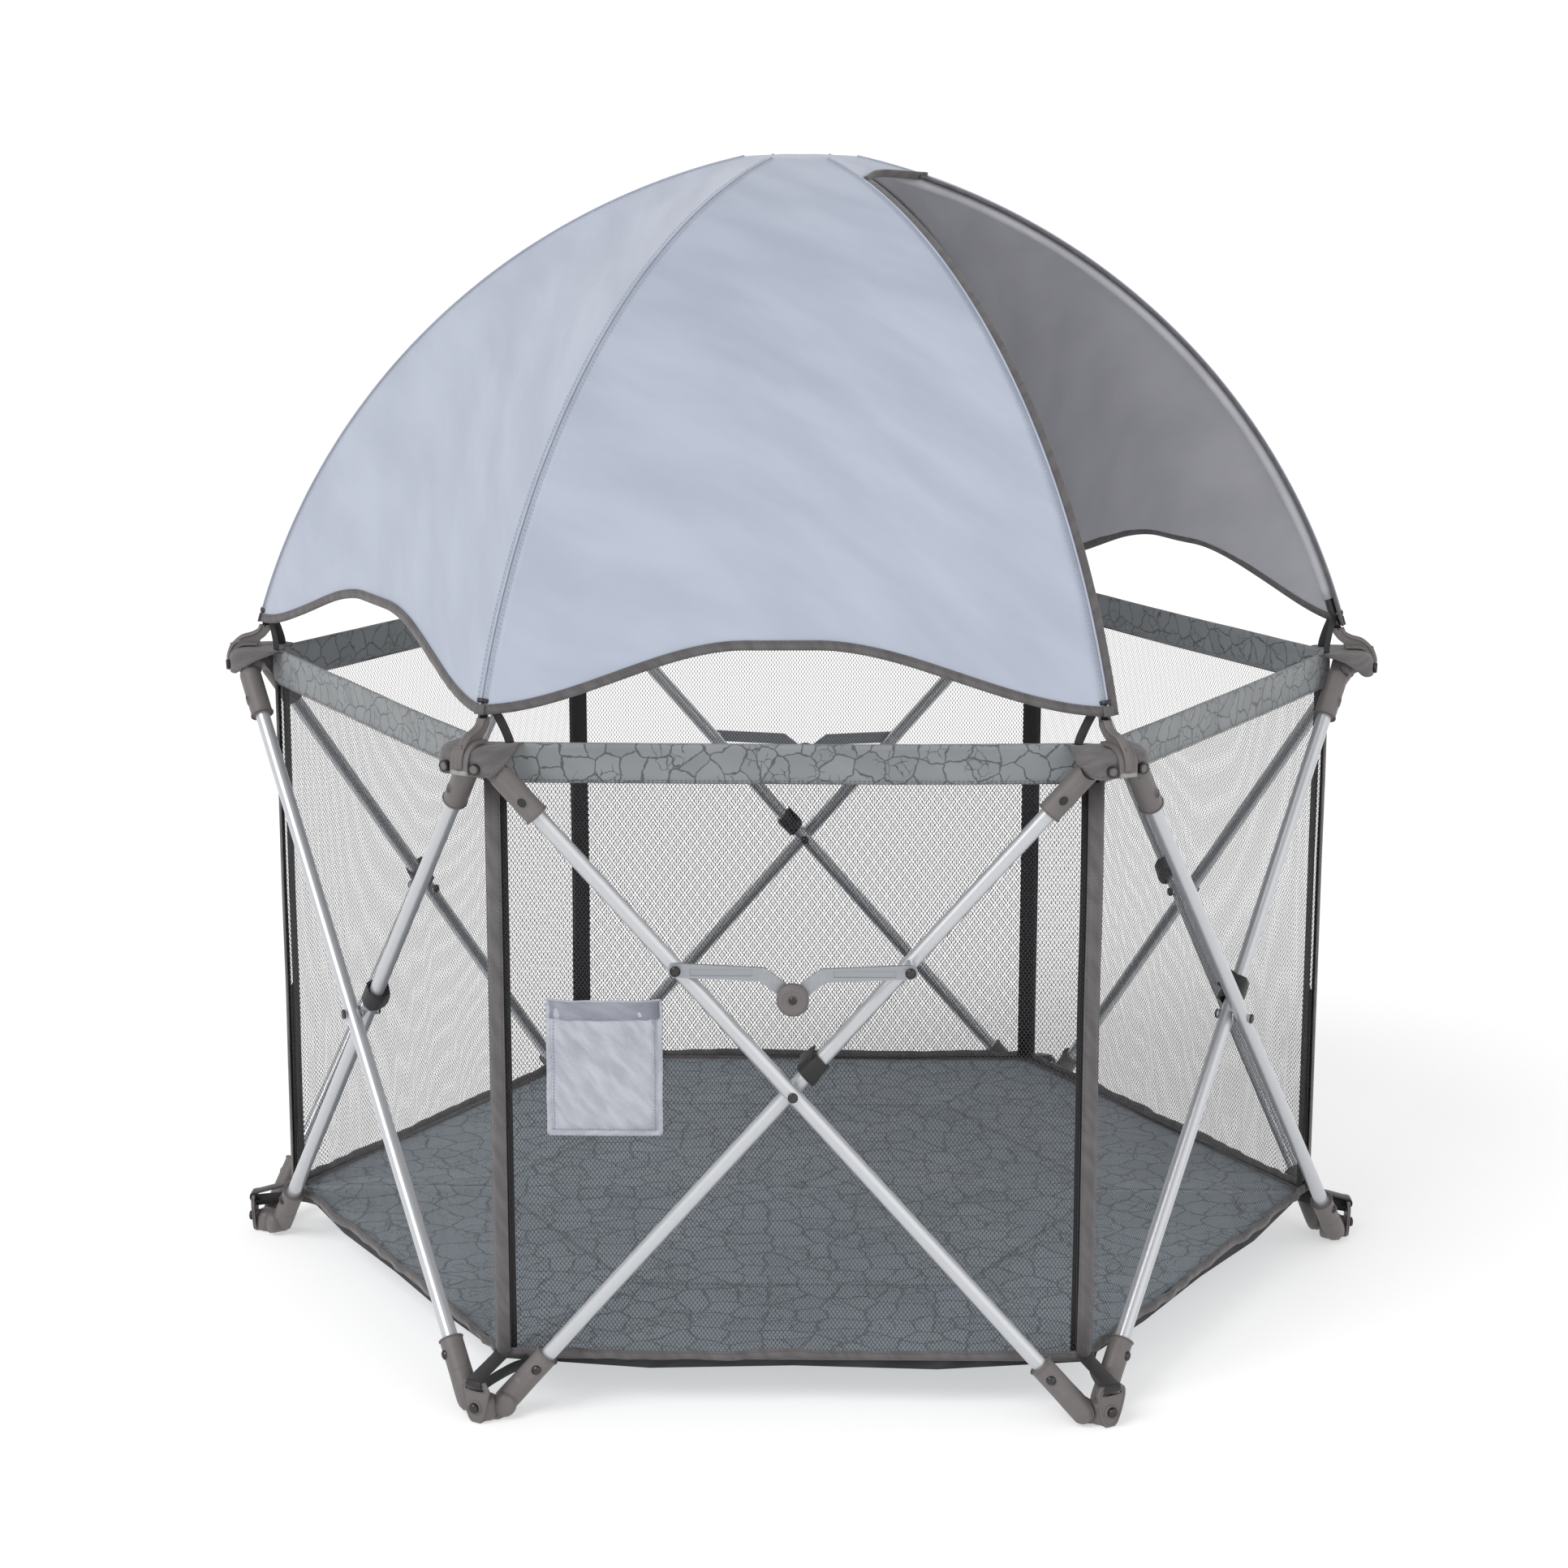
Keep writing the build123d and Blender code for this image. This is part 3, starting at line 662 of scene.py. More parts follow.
def facing(origin, direction, spin=upwards):
    # a place whose Z points in the direction
    z = Vector(direction).normalized()
    x = spin.cross(z)
    x = x.normalized() if x.length > 1e-6 else outwards
    y = z.cross(x)
    turn = Matrix((x, y, z)).transposed().to_4x4()
    return Matrix.Translation(origin) @ turn


def domeHead(radius, height, rim=0.0, steps=6):
    # outline of a low round head, with an optional raised rim
    outline = [(radius, -0.0006), (radius, height * 0.35)]
    if rim:
        outline += [(radius - rim * 0.4, height * 0.7), (radius - rim, height * 0.62),
                    (radius - rim * 1.5, height * 0.4)]
        radius -= rim * 1.5
    for k in range(1, steps + 1):
        a = math.radians(90 * k / steps)
        outline.append((max(radius * math.cos(a), radius * 0.04), height * (0.35 + 0.65 * math.sin(a))))
    return outline


def stitchRow(name, line, outward, material, place=None, length=0.0032, gap=0.0014, radius=0.00042,
              lift=0.0003):
    # a row of sewn stitches laid along a line; outward(k) points off the cloth
    along = lengthsAlong(line)
    total, points, faces, uvs = along[-1], [], [], []
    step = length + gap
    shape = [(-0.5, 0.25), (-0.3, 1.0), (0.3, 1.0), (0.5, 0.25)]
    k = 0
    at = gap
    while at + length < total:
        middle = at + length / 2
        while k < len(along) - 2 and along[k + 1] < middle:
            k += 1
        share = (middle - along[k]) / max(along[k + 1] - along[k], 1e-9)
        centre = line[k].lerp(line[k + 1], share)
        forward = (line[k + 1] - line[k]).normalized()
        up = outward(k)
        across = up.cross(forward).normalized()
        base = len(points)
        for x, fat in shape:
            for c in range(5):
                a = math.pi * c / 4
                points.append(centre + forward * (x * length) + across * (radius * fat * math.cos(a))
                              + up * (lift * 0.2 + radius * fat * math.sin(a)))
                uvs.append((radius * a, at + x * length))
        for r in range(3):
            for c in range(4):
                a = base + r * 5 + c
                faces.append((a, a + 1, a + 6, a + 5))
        at += step
    return makePiece(name, points, faces, material, place, uvs)


def fit(piece, body):
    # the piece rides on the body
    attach(piece, body)


def rideAndFold(piece, i):
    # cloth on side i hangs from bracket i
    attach(piece, corners[i] + "_top")
    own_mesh(piece)


def applyCloth(piece, look, pins):
    # inflates a closed piece a little, with its seam points held, and keeps the result
    rest = [v.co.copy() for v in piece.data.vertices]
    held = piece.vertex_groups.new(name="seams")
    held.add(pins, 1.0, "REPLACE")
    cloth = piece.modifiers.new("fill", "CLOTH")
    cloth.settings.use_pressure = True
    cloth.settings.uniform_pressure_force = look["pressure"]
    cloth.settings.vertex_group_mass = "seams"
    cloth.settings.tension_stiffness = 12.0
    cloth.settings.compression_stiffness = 12.0
    cloth.settings.bending_stiffness = 0.6
    cloth.settings.quality = 6
    cloth.settings.effector_weights.gravity = 0.0
    cloth.collision_settings.use_collision = False
    cloth.point_cache.frame_start = 1
    cloth.point_cache.frame_end = look["frames"]
    scene = bpy.context.scene
    for f in range(1, look["frames"] + 1):
        scene.frame_set(f)
    graph = bpy.context.evaluated_depsgraph_get()
    filled = piece.evaluated_get(graph).to_mesh()
    moved = [v.co.copy() for v in filled.vertices]
    piece.evaluated_get(graph).to_mesh_clear()
    piece.modifiers.remove(cloth)
    for v, a, b in zip(piece.data.vertices, rest, moved):
        shift = b - a
        if shift.length > look["cap"]:
            shift = shift * (look["cap"] / shift.length)
        v.co = a + shift
    piece.vertex_groups.clear()
    scene.frame_set(1)
    piece.data.update()


# CAD nodes that stay: real materials, with pins and rivets in dark metal

def islandsOf(mesh):
    # the separate solids of a node, as lists of face indices, largest first
    parent = list(range(len(mesh.vertices)))

    def root(v):
        while parent[v] != v:
            parent[v] = parent[parent[v]]
            v = parent[v]
        return v

    spots = {}
    for v in mesh.vertices:
        key = tuple(round(c, 6) for c in v.co)
        first = spots.setdefault(key, v.index)
        parent[root(v.index)] = root(first)
    for face in mesh.polygons:
        first = root(face.vertices[0])
        for v in face.vertices[1:]:
            parent[root(v)] = first
    found = {}
    for face in mesh.polygons:
        found.setdefault(root(face.vertices[0]), []).append(face.index)
    return sorted(found.values(), key=lambda faces: -sum(mesh.polygons[f].area for f in faces))


def dressNode(name, body, extra=None, keep=1):
    # the largest solids take the body material and the rest the extra one
    node = frame["nodes"][name]
    node.data.materials.clear()
    node.data.materials.append(materials[body])
    if extra:
        node.data.materials.append(materials[extra])
        for n, faces in enumerate(islandsOf(node.data)):
            for f in faces:
                node.data.polygons[f].material_index = 0 if n < keep else 1
    else:
        for face in node.data.polygons:
            face.material_index = 0
    softened = node.modifiers.new("soft edges", "BEVEL")
    softened.width = 0.0006
    softened.segments = 2
    softened.limit_method = "ANGLE"
    softened.angle_limit = math.radians(40)
    return node


for i, side in enumerate(sides):
    dressNode(side + "_inner_tube", "tube", "rivet")
    dressNode(side + "_outer_tube", "tube", "rivet")
    dressNode(side + "_inner_sockets", "taupe")
    dressNode(side + "_outer_sockets", "taupe")
for corner in corners:
    dressNode(corner + "_foot", "taupe", "rivet")
    dressNode(corner + "_bracket", "taupe", "rivet")
for i in bracedSides:
    dressNode(sides[i] + "_brace_left_link", "link")
    dressNode(sides[i] + "_brace_right_link", "link")
    dressNode(sides[i] + "_brace_lock", "taupe", "rivet")
dressNode("canopy_poles", "pole")
dressNode("canopy_hub", "black")
dressNode("canopy_pole_tips", "black")
print("CAD nodes dressed")


# canopy: five gores sewn over the poles, open on one side

dome = {"radius": 0.7402, "centreR": -0.0998, "centreZ": 0.5201, "hemCorner": 0.7265, "hemRise": 0.0615,
        "top": 1.2430, "sag": 0.009, "fold": 0.0024, "thickness": 0.0011, "flapEnd": 0.835,
        "edgeTape": 0.0155, "seam": 0.0011, "sleeve": 0.0062, "strap": 0.009}


def domeRadius(z):
    return dome["centreR"] + math.sqrt(max(dome["radius"] ** 2 - (z - dome["centreZ"]) ** 2, 0.0))


def hemHeight(s):
    # a bell that leaves each corner almost level, then climbs
    return dome["hemCorner"] + dome["hemRise"] * smooth(s / 0.42) * smooth((1 - s) / 0.46)


def gorePoint(i, s, t, lift=0.0):
    # s runs from corner i to the next, t from the hem to the top; side coordinates
    lowAngle = math.asin((hemHeight(s) - dome["centreZ"]) / dome["radius"])
    highAngle = math.asin((dome["top"] - dome["centreZ"]) / dome["radius"])
    span = 0.93
    if t <= span:
        angle = lowAngle + (highAngle - lowAngle) * t / span
        z = dome["centreZ"] + dome["radius"] * math.sin(angle)
        r = domeRadius(z)
    else:
        k = (t - span) / (1 - span)
        r = domeRadius(dome["top"]) * (1 - k * 0.97)
        z = dome["top"] + 0.0016 * math.sin(k * math.pi / 2)
    y = (s - 0.5) * r
    x = r * cos30
    between = math.sin(math.pi * s)
    taut = between * min(1.0, r / 0.3)
    pull = dome["sag"] * taut * (0.35 + 0.65 * math.sin(math.pi * min(t, 1.0)))
    along = wave(y * 2.2 + x * 1.1, z * 3.4 - y * 2.6, 3 + i)
    ripple = wave(s * 3.2 + t * 2.4, (t * 2.1 - s * 2.7), 9 + i) * 0.7 + along * 0.6
    near = math.exp(-((t - 0.02) / 0.10) ** 2) * wave(s * 9, t * 3, 21 + i) * 0.8
    depth = -pull + dome["fold"] * taut * (ripple + near) + lift
    level = Vector((r - dome["centreR"], 0, z - dome["centreZ"])) / dome["radius"]
    return Vector((x, y, z)) + level * depth


def goreLayout(s, t):
    # the gore laid flat, for the cloth's own coordinates in metres
    z = dome["centreZ"] + dome["radius"] * math.sin(0.29 + 1.06 * t)
    return ((s - 0.5) * max(domeRadius(min(z, dome["top"])), 0.02), t * 0.79)


for i, side in enumerate(sides):
    if i == openSide:
        continue
    gore = sheetPiece(f"canopy_{side}_gore", 70, 49, lambda s, t, i=i: gorePoint(i, s, t), goreLayout,
                      "canopy", sideMatrix(i))
    addThickness(gore, dome["thickness"], inner="lining")
    fit(gore, "canopy")
    edge = [gorePoint(i, k / 72, 0.0) for k in range(73)]
    turn = sideMatrix(i)
    hem = sweepPiece(f"canopy_{side}_hem", edge, [(-0.0015, -0.0006), (0.0010, -0.0006), (0.0013, 0.004),
                     (0.0010, 0.0088), (0.0002, 0.0092), (-0.0016, 0.0088), (-0.0019, 0.004)],
                     lambda k: Vector((1, 0, 0.25)), "tape", turn)
    fit(hem, "canopy")
    row = [gorePoint(i, k / 72, 0.0) + Vector((0.0013, 0, 0.0078)) for k in range(1, 72)]
    sewn = stitchRow(f"canopy_{side}_hem_stitches", row, lambda k: Vector((0.97, 0, 0.25)), "darkThread",
                     turn)
    fit(sewn, "canopy")
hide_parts("canopy_fabric")

# a short piece of the open side stays covered at the top, with a bound edge
def flapPoint(s, t):
    rise = dome["flapEnd"] + (1 - dome["flapEnd"]) * t + 0.02 * math.sin(math.pi * s) * (1 - t)
    return gorePoint(openSide, s, rise)


flap = sheetPiece("canopy_top_flap", 12, 17, flapPoint, lambda s, t: ((s - 0.5) * 0.16, t * 0.13), "canopy",
                  sideMatrix(openSide))
addThickness(flap, dome["thickness"], inner="lining")
fit(flap, "canopy")
flapEdge = [flapPoint(k / 30, 0) for k in range(31)]
bound = sweepPiece("canopy_flap_binding", flapEdge, strapSection(0.009, 0.0028),
                   lambda k: Vector((0.35, 0, 0.94)), "tape", sideMatrix(openSide))
fit(bound, "canopy")


def poleLine(low, high, lift, count=60):
    # a line up the outside of a pole, in the corner's frame
    line = []
    for k in range(count):
        angle = low + (high - low) * k / (count - 1)
        r = dome["centreR"] + (dome["radius"] + lift) * math.cos(angle)
        line.append(Vector((r, 0, dome["centreZ"] + (dome["radius"] + lift) * math.sin(angle))))
    return line


def offDome(row):
    # the direction straight off the dome at each point of a row
    return lambda k: Vector((row[k].x - dome["centreR"], 0, row[k].z - dome["centreZ"])).normalized()


strapRoute = [(0.5985, 0.004, 0.7380), (0.597, 0.008, 0.730), (0.593, 0.014, 0.716), (0.590, 0.019, 0.702),
              (0.590, 0.021, 0.696)]
poleLow = math.asin((dome["hemCorner"] - dome["centreZ"]) / dome["radius"])
poleHigh = math.asin((dome["top"] - 0.0005 - dome["centreZ"]) / dome["radius"])
for i, corner in enumerate(corners):
    turn = cornerMatrix(i)
    onEdge = i in (openSide, (openSide + 1) % 6)
    if onEdge:
        # the open side's edges are bound in wide dark tape over the pole
        offset = 0.0052 if i == openSide else -0.0052
        line = [p + Vector((-0.0012, offset, 0)) for p in poleLine(poleLow, poleHigh - 0.10, -0.0015)]
        edging = sweepPiece(f"canopy_{corner}_edge_binding", line, strapSection(dome["edgeTape"], 0.0030),
                            lambda k: sideways, "tape", turn)
        fit(edging, "canopy")
    seam = sweepPiece(f"canopy_{corner}_seam", poleLine(poleLow, poleHigh, 0.0004),
                      roundSection(dome["seam"], 8), lambda k: sideways, "canopy", turn)
    fit(seam, "canopy")
    for offset in (-0.0045, 0.0045):
        if onEdge and (offset > 0) == (i == openSide):
            continue
        shift = Vector((0.0006 - abs(offset) * 0.28, offset, 0))
        row = [p + shift for p in poleLine(poleLow, poleHigh, 0.0, 90)]
        sewn = stitchRow(f"canopy_{corner}_stitches_{'a' if offset < 0 else 'b'}", row, offDome(row), "thread",
                         turn, lift=0.0008)
        fit(sewn, "canopy")
    # the sleeve that holds the pole, under the seam
    sleeve = sweepPiece(f"canopy_{corner}_pole_sleeve", poleLine(poleLow + 0.045, poleHigh - 0.03, -0.009),
                        roundSection(dome["sleeve"], 12), lambda k: sideways, "lining", turn)
    fit(sleeve, "canopy")
    # the hem's corner, folded to a point over the pole's end
    line = poleLine(poleLow - 0.0005, poleLow + 0.0125, 0.0006, 10)
    tab = sweepPiece(f"canopy_{corner}_corner_patch", line, strapSection(0.0115, 0.0022), lambda k: sideways,
                     "tape", turn)
    fit(tab, "canopy")
    # black elastic straps from the canopy's corner to the back of the bracket
    for hand in (-1, 1):
        path = smoothPath([(x, hand * y, z) for x, y, z in strapRoute], 0.004)
        strap = sweepPiece(f"canopy_{corner}_strap_{'a' if hand < 0 else 'b'}", path,
                           strapSection(dome["strap"], 0.0016),
                           lambda k, hand=hand: Vector((-0.75, hand * 0.65, 0)), "elastic", turn)
        fit(strap, "canopy")
print("canopy made")


# rail bands: padded, printed, with a rolled top edge

band = {"depth": -0.0262, "half": 0.0034, "low": 0.6540, "high": 0.6966, "sewn": 0.6585, "roll": 0.6895,
        "frames": 18, "pressure": 2.2, "cap": 0.0035, "puff": 0.0007, "slack": 0.0011, "sway": 0.0008,
        "pull": 0.0012}


def bandSection():
    # closed outline as (depth, height, held) starting at the bottom outside
    low, high = band["low"], band["high"]
    outside = [(-0.4, low, 1), (0.5, band["sewn"] - 0.0022, 1), (0.55, band["sewn"], 1), (0.85, 0.6625, 0),
               (1.0, 0.6675, 0), (1.05, 0.674, 0), (1.05, 0.680, 0), (0.95, 0.6855, 0),
               (0.8, band["roll"], 1), (1.0, 0.6918, 0), (0.8, 0.6950, 0), (0.2, high, 0)]
    inside = [(-0.5, high - 0.0006, 0), (-0.95, 0.6935, 0), (-0.85, band["roll"], 1), (-1.0, 0.683, 0),
              (-1.05, 0.675, 0), (-0.95, 0.666, 0), (-0.6, band["sewn"], 1)]
    return outside + inside


def bandMesh(count=97):
    section = bandSection()
    points, uvs, held = [], [], []
    for c in range(count):
        s = c / (count - 1) * 2 - 1
        for m, (d, z, fixed) in enumerate(section):
            depth = band["depth"] + d * band["half"]
            half = (yard["apothem"] + depth) * tan30 - 0.0006
            points.append((yard["apothem"] + depth, s * half, z))
            uvs.append((s * half, z + (0.06 if m > 11 else 0)))
            if fixed or c in (0, count - 1):
                held.append(len(points) - 1)
    size = len(section)
    faces = gridFaces(count, size, wrap=True)
    faces.append(tuple(range(size - 1, -1, -1)))
    faces.append(tuple((count - 1) * size + m for m in range(size)))
    return points, uvs, faces, held


bandPoints, bandUvs, bandFaces, bandHeld = bandMesh()
bandForm = makePiece("band_form", bandPoints, bandFaces, "band", None, bandUvs)
applyCloth(bandForm, band, bandHeld)
bandRest = [v.co.copy() for v in bandForm.data.vertices]
bpy.data.objects.remove(bandForm)


def bandRipple(i, p):
    s = p.y / 0.3
    puff = wave(p.y * 26, p.z * 40, 31 + i) * band["puff"] + wave(p.y * 9, p.z * 15, 41 + i) * band["slack"]
    sway = wave(p.y * 4.5, 0.5, 51 + i) * band["sway"]
    pull = band["pull"] * (1 - s * s)
    ends = smooth((0.31 - abs(p.y)) / 0.04)
    return Vector((puff * ends, 0, sway * ends - pull * ends * (1.0 if p.z > 0.68 else 0.6)))


for i, side in enumerate(sides):
    rolled = [p + bandRipple(i, p) for p in bandRest]
    shift = (0.41 * i, 0.173 * i)
    rail = makePiece(f"{side}_rail_band", rolled, bandFaces, "band", sideMatrix(i),
                     [(u + shift[0], v + shift[1]) for u, v in bandUvs])
    finer = rail.modifiers.new("finer", "SUBSURF")
    finer.levels = 1
    finer.render_levels = 1
    rideAndFold(rail, i)
    sewnX = yard["apothem"] + band["depth"] + band["half"] * 0.75
    edge = [Vector((sewnX, (k / 60 - 0.5) * 0.585, band["sewn"] + 0.0008)) for k in range(61)]
    edge = [p + bandRipple(i, p) + Vector((0.0016, 0, 0)) for p in edge]
    for step, name in ((0.0, "a"), (-0.0024, "b")):
        row = [p + Vector((0, 0, step)) for p in edge]
        sewn = stitchRow(f"{side}_band_stitches_{name}", row, lambda k: outwards, "darkThread", sideMatrix(i))
        rideAndFold(sewn, i)
print("rail bands made")


# mesh walls with their bindings

wall = {"face": yard["apothem"] - 0.0256, "low": 0.0600, "high": 0.6575, "width": 0.597, "sway": 0.0042,
        "ripple": 0.0042, "fold": 0.0032, "hemWave": 0.0022, "skirt": 0.0055, "skirtWave": 0.0050}


hemSection = [(-0.0016, -0.0042), (0.0014, -0.0042), (0.0019, 0.0), (0.0014, 0.0048), (0.0002, 0.0052),
              (-0.0018, 0.0048), (-0.0022, 0.0)]


def wallWave(i, s, z):
    # the net hangs flat under the band and ripples towards the mat
    height = (z - yard["wallFoot"]) / 0.59
    loose = (1 - height) ** 2
    ends = smooth((1 - abs(s)) / 0.12)
    slow = wave(s * 3.1, height * 2.4, 61 + i) * wall["sway"] * (0.35 + 0.65 * loose)
    quick = wave(s * 12, height * 2.4, 71 + i) * wall["ripple"] * loose
    # the net is gathered in short upright folds beside each lower corner
    beside = math.exp(-((1 - abs(s)) / 0.20) ** 2) * smooth((0.55 - height) / 0.5)
    folds = math.sin((1 - abs(s)) * 62 + 3 * height + i) * wall["fold"] * beside
    return (slow + quick + folds) * ends - 0.0022


def hemDrop(i, s):
    ends = smooth((1 - abs(s)) / 0.1)
    return (wave(s * 4.2, 0.2, 81 + i) * wall["hemWave"] + wave(s * 13, 0.7, 85 + i) * 0.0009 - 0.0015) * ends


def wallPoint(i, s, z):
    depth = wallWave(i, s, z)
    half = (wall["face"] + depth) * tan30 - 0.0006
    low = smooth((0.16 - z) / 0.1)
    return Vector((wall["face"] + depth, s * half, z + hemDrop(i, s) * low))


for i, side in enumerate(sides):
    lowZ, tall = wall["low"], wall["high"] - wall["low"]
    net = sheetPiece(f"{side}_mesh_wall", 60, 61,
                     lambda s, t, i=i: wallPoint(i, 2 * s - 1, lowZ + tall * t ** 1.25),
                     lambda s, t, i=i: ((s - 0.5) * wall["width"] + 0.31 * i, tall * t ** 1.25),
                     "net", sideMatrix(i))
    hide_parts(side + "_wall")
    rideAndFold(net, i)
    count = 81
    foot = [wallPoint(i, (k / (count - 1)) * 2 - 1, lowZ) for k in range(count)]
    binding = sweepPiece(f"{side}_hem_binding", foot, hemSection, lambda k: outwards, "tape", sideMatrix(i))
    rideAndFold(binding, i)
    row = [p + Vector((0.0018, 0, 0.0032)) for p in foot]
    sewn = stitchRow(f"{side}_hem_stitches", row[1:-1], lambda k: outwards, "darkThread", sideMatrix(i))
    rideAndFold(sewn, i)

    def skirtPoint(s, t, i=i):
        q = 2 * s - 1
        top = wallPoint(i, q, lowZ)
        ends = smooth((1 - abs(q)) / 0.09)
        waves = wall["skirtWave"] * wave(q * 6.5, 0.3, 91 + i) + 0.0022 * wave(q * 17, 1.3, 95 + i)
        drop = 0.0080 + (wall["skirt"] + waves) * ends
        flare = (0.0015 + 0.0045 * wave(q * 8, 0.9, 99 + i)) * t * ends
        return Vector((top.x - 0.0052 + flare, top.y * 0.992, top.z - 0.001 - drop * t))

    skirt = sheetPiece(f"{side}_mat_underside", 121, 5, skirtPoint, lambda s, t: (s * 0.6, t * 0.02), "under",
                       sideMatrix(i))
    addThickness(skirt, 0.0014, offset=0.0)
    rideAndFold(skirt, i)

# each corner of the net is bound: taupe tape outside and black tape inside
cornerTapes = {"corner_binding": {"reach": 0.0105, "shift": 0.0, "material": "tape"},
               "corner_tape": {"reach": 0.0125, "shift": -0.0085, "material": "blackTape"}}
for i, corner in enumerate(corners):
    radius = (wall["face"] + 0.0016) / cos30
    turn = cornerMatrix(i)
    for name, look in cornerTapes.items():
        def cornerTape(s, t, look=look, i=i):
            w = (s * 2 - 1) * look["reach"]
            z = 0.0585 + t * 0.5990
            sway = wave(t * 4, 0.3, 101 + i) * 0.0009
            bend = 0.0016 * math.exp(-(w / 0.003) ** 2)
            return Vector((radius + look["shift"] + sway - abs(w) * 0.5 - bend, w * 0.866 + sway, z))

        tape = sheetPiece(f"{corner}_{name}", 13, 50, cornerTape,
                          lambda s, t, look=look: (t * 0.6, s * 2 * look["reach"]), look["material"], turn)
        addThickness(tape, 0.0014, offset=0.0)
        fit(tape, corner + "_top")
    for hand in (-1, 1):
        row = [Vector((radius - 0.0088 * 0.5 + 0.0008, hand * 0.0088 * 0.866, 0.064 + k * 0.0148))
               for k in range(40)]
        sewn = stitchRow(f"{corner}_binding_stitches_{'a' if hand < 0 else 'b'}", row,
                         lambda k, hand=hand: Vector((0.866, hand * 0.5, 0)), "darkThread", turn)
        fit(sewn, corner + "_top")
print("walls made")


# mat: six padded parts with a sewn hexagon

mat = {"bottom": 0.0512, "flat": 0.0560, "apothem": 0.5085, "seam": 0.61, "rings": 34, "across": 41,
       "start": 0.012, "frames": 18, "pressure": 1.2, "cap": 0.006, "rumple": 0.0011, "piping": 0.0030,
       "stitch": 0.0036}


def matMesh():
    rings, across = mat["rings"], mat["across"]
    points, held = [], []
    for layer in (1, -1):
        for r in range(rings):
            share = mat["start"] + (1 - mat["start"]) * r / (rings - 1)
            for c in range(across):
                s = c / (across - 1) * 2 - 1
                x = share * mat["apothem"]
                y = s * max(x * tan30, 0.0004)
                rim = smooth((1 - share) / 0.03) * (0.8 + 0.2 * smooth((1 - abs(s)) / 0.03))
                seam = 1 - math.exp(-((share - mat["seam"]) / 0.014) ** 2)
                middle = (mat["bottom"] + mat["flat"]) / 2
                half = (mat["flat"] - mat["bottom"]) / 2
                rise = half * (0.15 + 0.85 * rim) * (0.2 + 0.8 * seam)
                z = middle + rise if layer > 0 else mat["bottom"] + half * (1 - (0.15 + 0.85 * rim))
                points.append((x, y, z))
                atRim = r in (0, rings - 1) or c in (0, across - 1)
                if atRim or abs(share - mat["seam"]) < 0.016 or layer < 0:
                    held.append(len(points) - 1)
    size = rings * across
    faces = gridFaces(rings, across)
    faces += [tuple(reversed(f)) for f in gridFaces(rings, across, start=size)]
    ring = list(range(across)) + [r * across + across - 1 for r in range(1, rings)]
    ring += [(rings - 1) * across + c for c in range(across - 2, -1, -1)]
    ring += [r * across for r in range(rings - 2, 0, -1)]
    for a, b in zip(ring, ring[1:] + ring[:1]):
        faces.append((b, a, a + size, b + size))
    return points, faces, held


matPoints, matFaces, matHeld = matMesh()
matForm = makePiece("mat_form", matPoints, matFaces, "mat")
applyCloth(matForm, mat, matHeld)
matRest = [v.co.copy() for v in matForm.data.vertices]
bpy.data.objects.remove(matForm)

for i, side in enumerate(sides):
    turn = sideMatrix(i)
    shaped, uvs = [], []
    for p in matRest:
        world = turn @ p
        top = smooth((p.z - mat["bottom"] - 0.002) / 0.003)
        rumple = wave(world.x * 9, world.y * 9, 111) + 0.6 * wave(world.x * 21, world.y * 21, 115)
        edge = smooth((mat["apothem"] - p.x) / 0.03)
        shaped.append(p + Vector((0, 0, (rumple * mat["rumple"] - 0.0006) * top * edge)))
        uvs.append((world.x, world.y))
    pad = makePiece(f"{side}_mat_pad", shaped, matFaces, "mat", turn, uvs)
    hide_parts(side + "_floor_panel")
    seamX = mat["seam"] * mat["apothem"]
    halfEdge = mat["apothem"] * tan30 - 0.002
    piping = [Vector((mat["apothem"] + 0.0004, (k / 20 - 1) * halfEdge, 0.0545)) for k in range(41)]
    edging = sweepPiece(f"{side}_mat_piping", piping, roundSection(mat["piping"], 10), lambda k: outwards,
                        "tape", turn)
    pieces = [pad, edging]
    for shift, name in ((-0.0012, "a"), (0.0012, "b")):
        halfSeam = seamX * tan30 - 0.004
        row = [Vector((seamX + shift, (k / 30 - 1) * halfSeam, mat["flat"] - 0.0008)) for k in range(61)]
        pieces.append(stitchRow(f"{side}_mat_stitches_{name}", row, lambda k: upwards, "darkThread", turn,
                                length=mat["stitch"], gap=mat["stitch"] / 2, lift=0.0009))
    for piece in pieces:
        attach(piece, side + "_floor")
        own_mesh(piece)
print("mat made")


# corner covers, snaps and pale strips

cover = {"back": -0.0265, "thickness": 0.0016, "tuck": 0.0011, "snapOut": 0.0194, "snapAlong": 0.0176,
         "snapZ": 0.6795, "stripZ": 0.6745}
# rows of (how far round the corner, outward, along) for the cover's front edge in plan
coverPlan = [(0.0, 0.0166, 0.0), (0.012, 0.0172, 0.0118), (0.020, 0.0182, 0.0200), (0.028, 0.0150, 0.0270),
             (0.036, 0.0088, 0.0325), (0.043, 0.0018, 0.0362), (0.050, -0.0095, 0.0370),
             (0.057, -0.0235, 0.0350), (0.064, -0.0400, 0.0312)]
# the cover's lower edge, from the corner outwards
coverLow = [0.6715, 0.6715, 0.6710, 0.6705, 0.6720, 0.6775, 0.6850, 0.6920, 0.6975]
# rows of (share of the way from back to front, height) over the top of the cover
coverRise = [(0.0, 0.6965), (0.35, 0.6980), (0.62, 0.6982), (0.84, 0.6972), (0.955, 0.6940), (1.0, 0.6885),
             (1.0, 0.6830), (1.0, 0.6775), (0.995, 0.6715)]


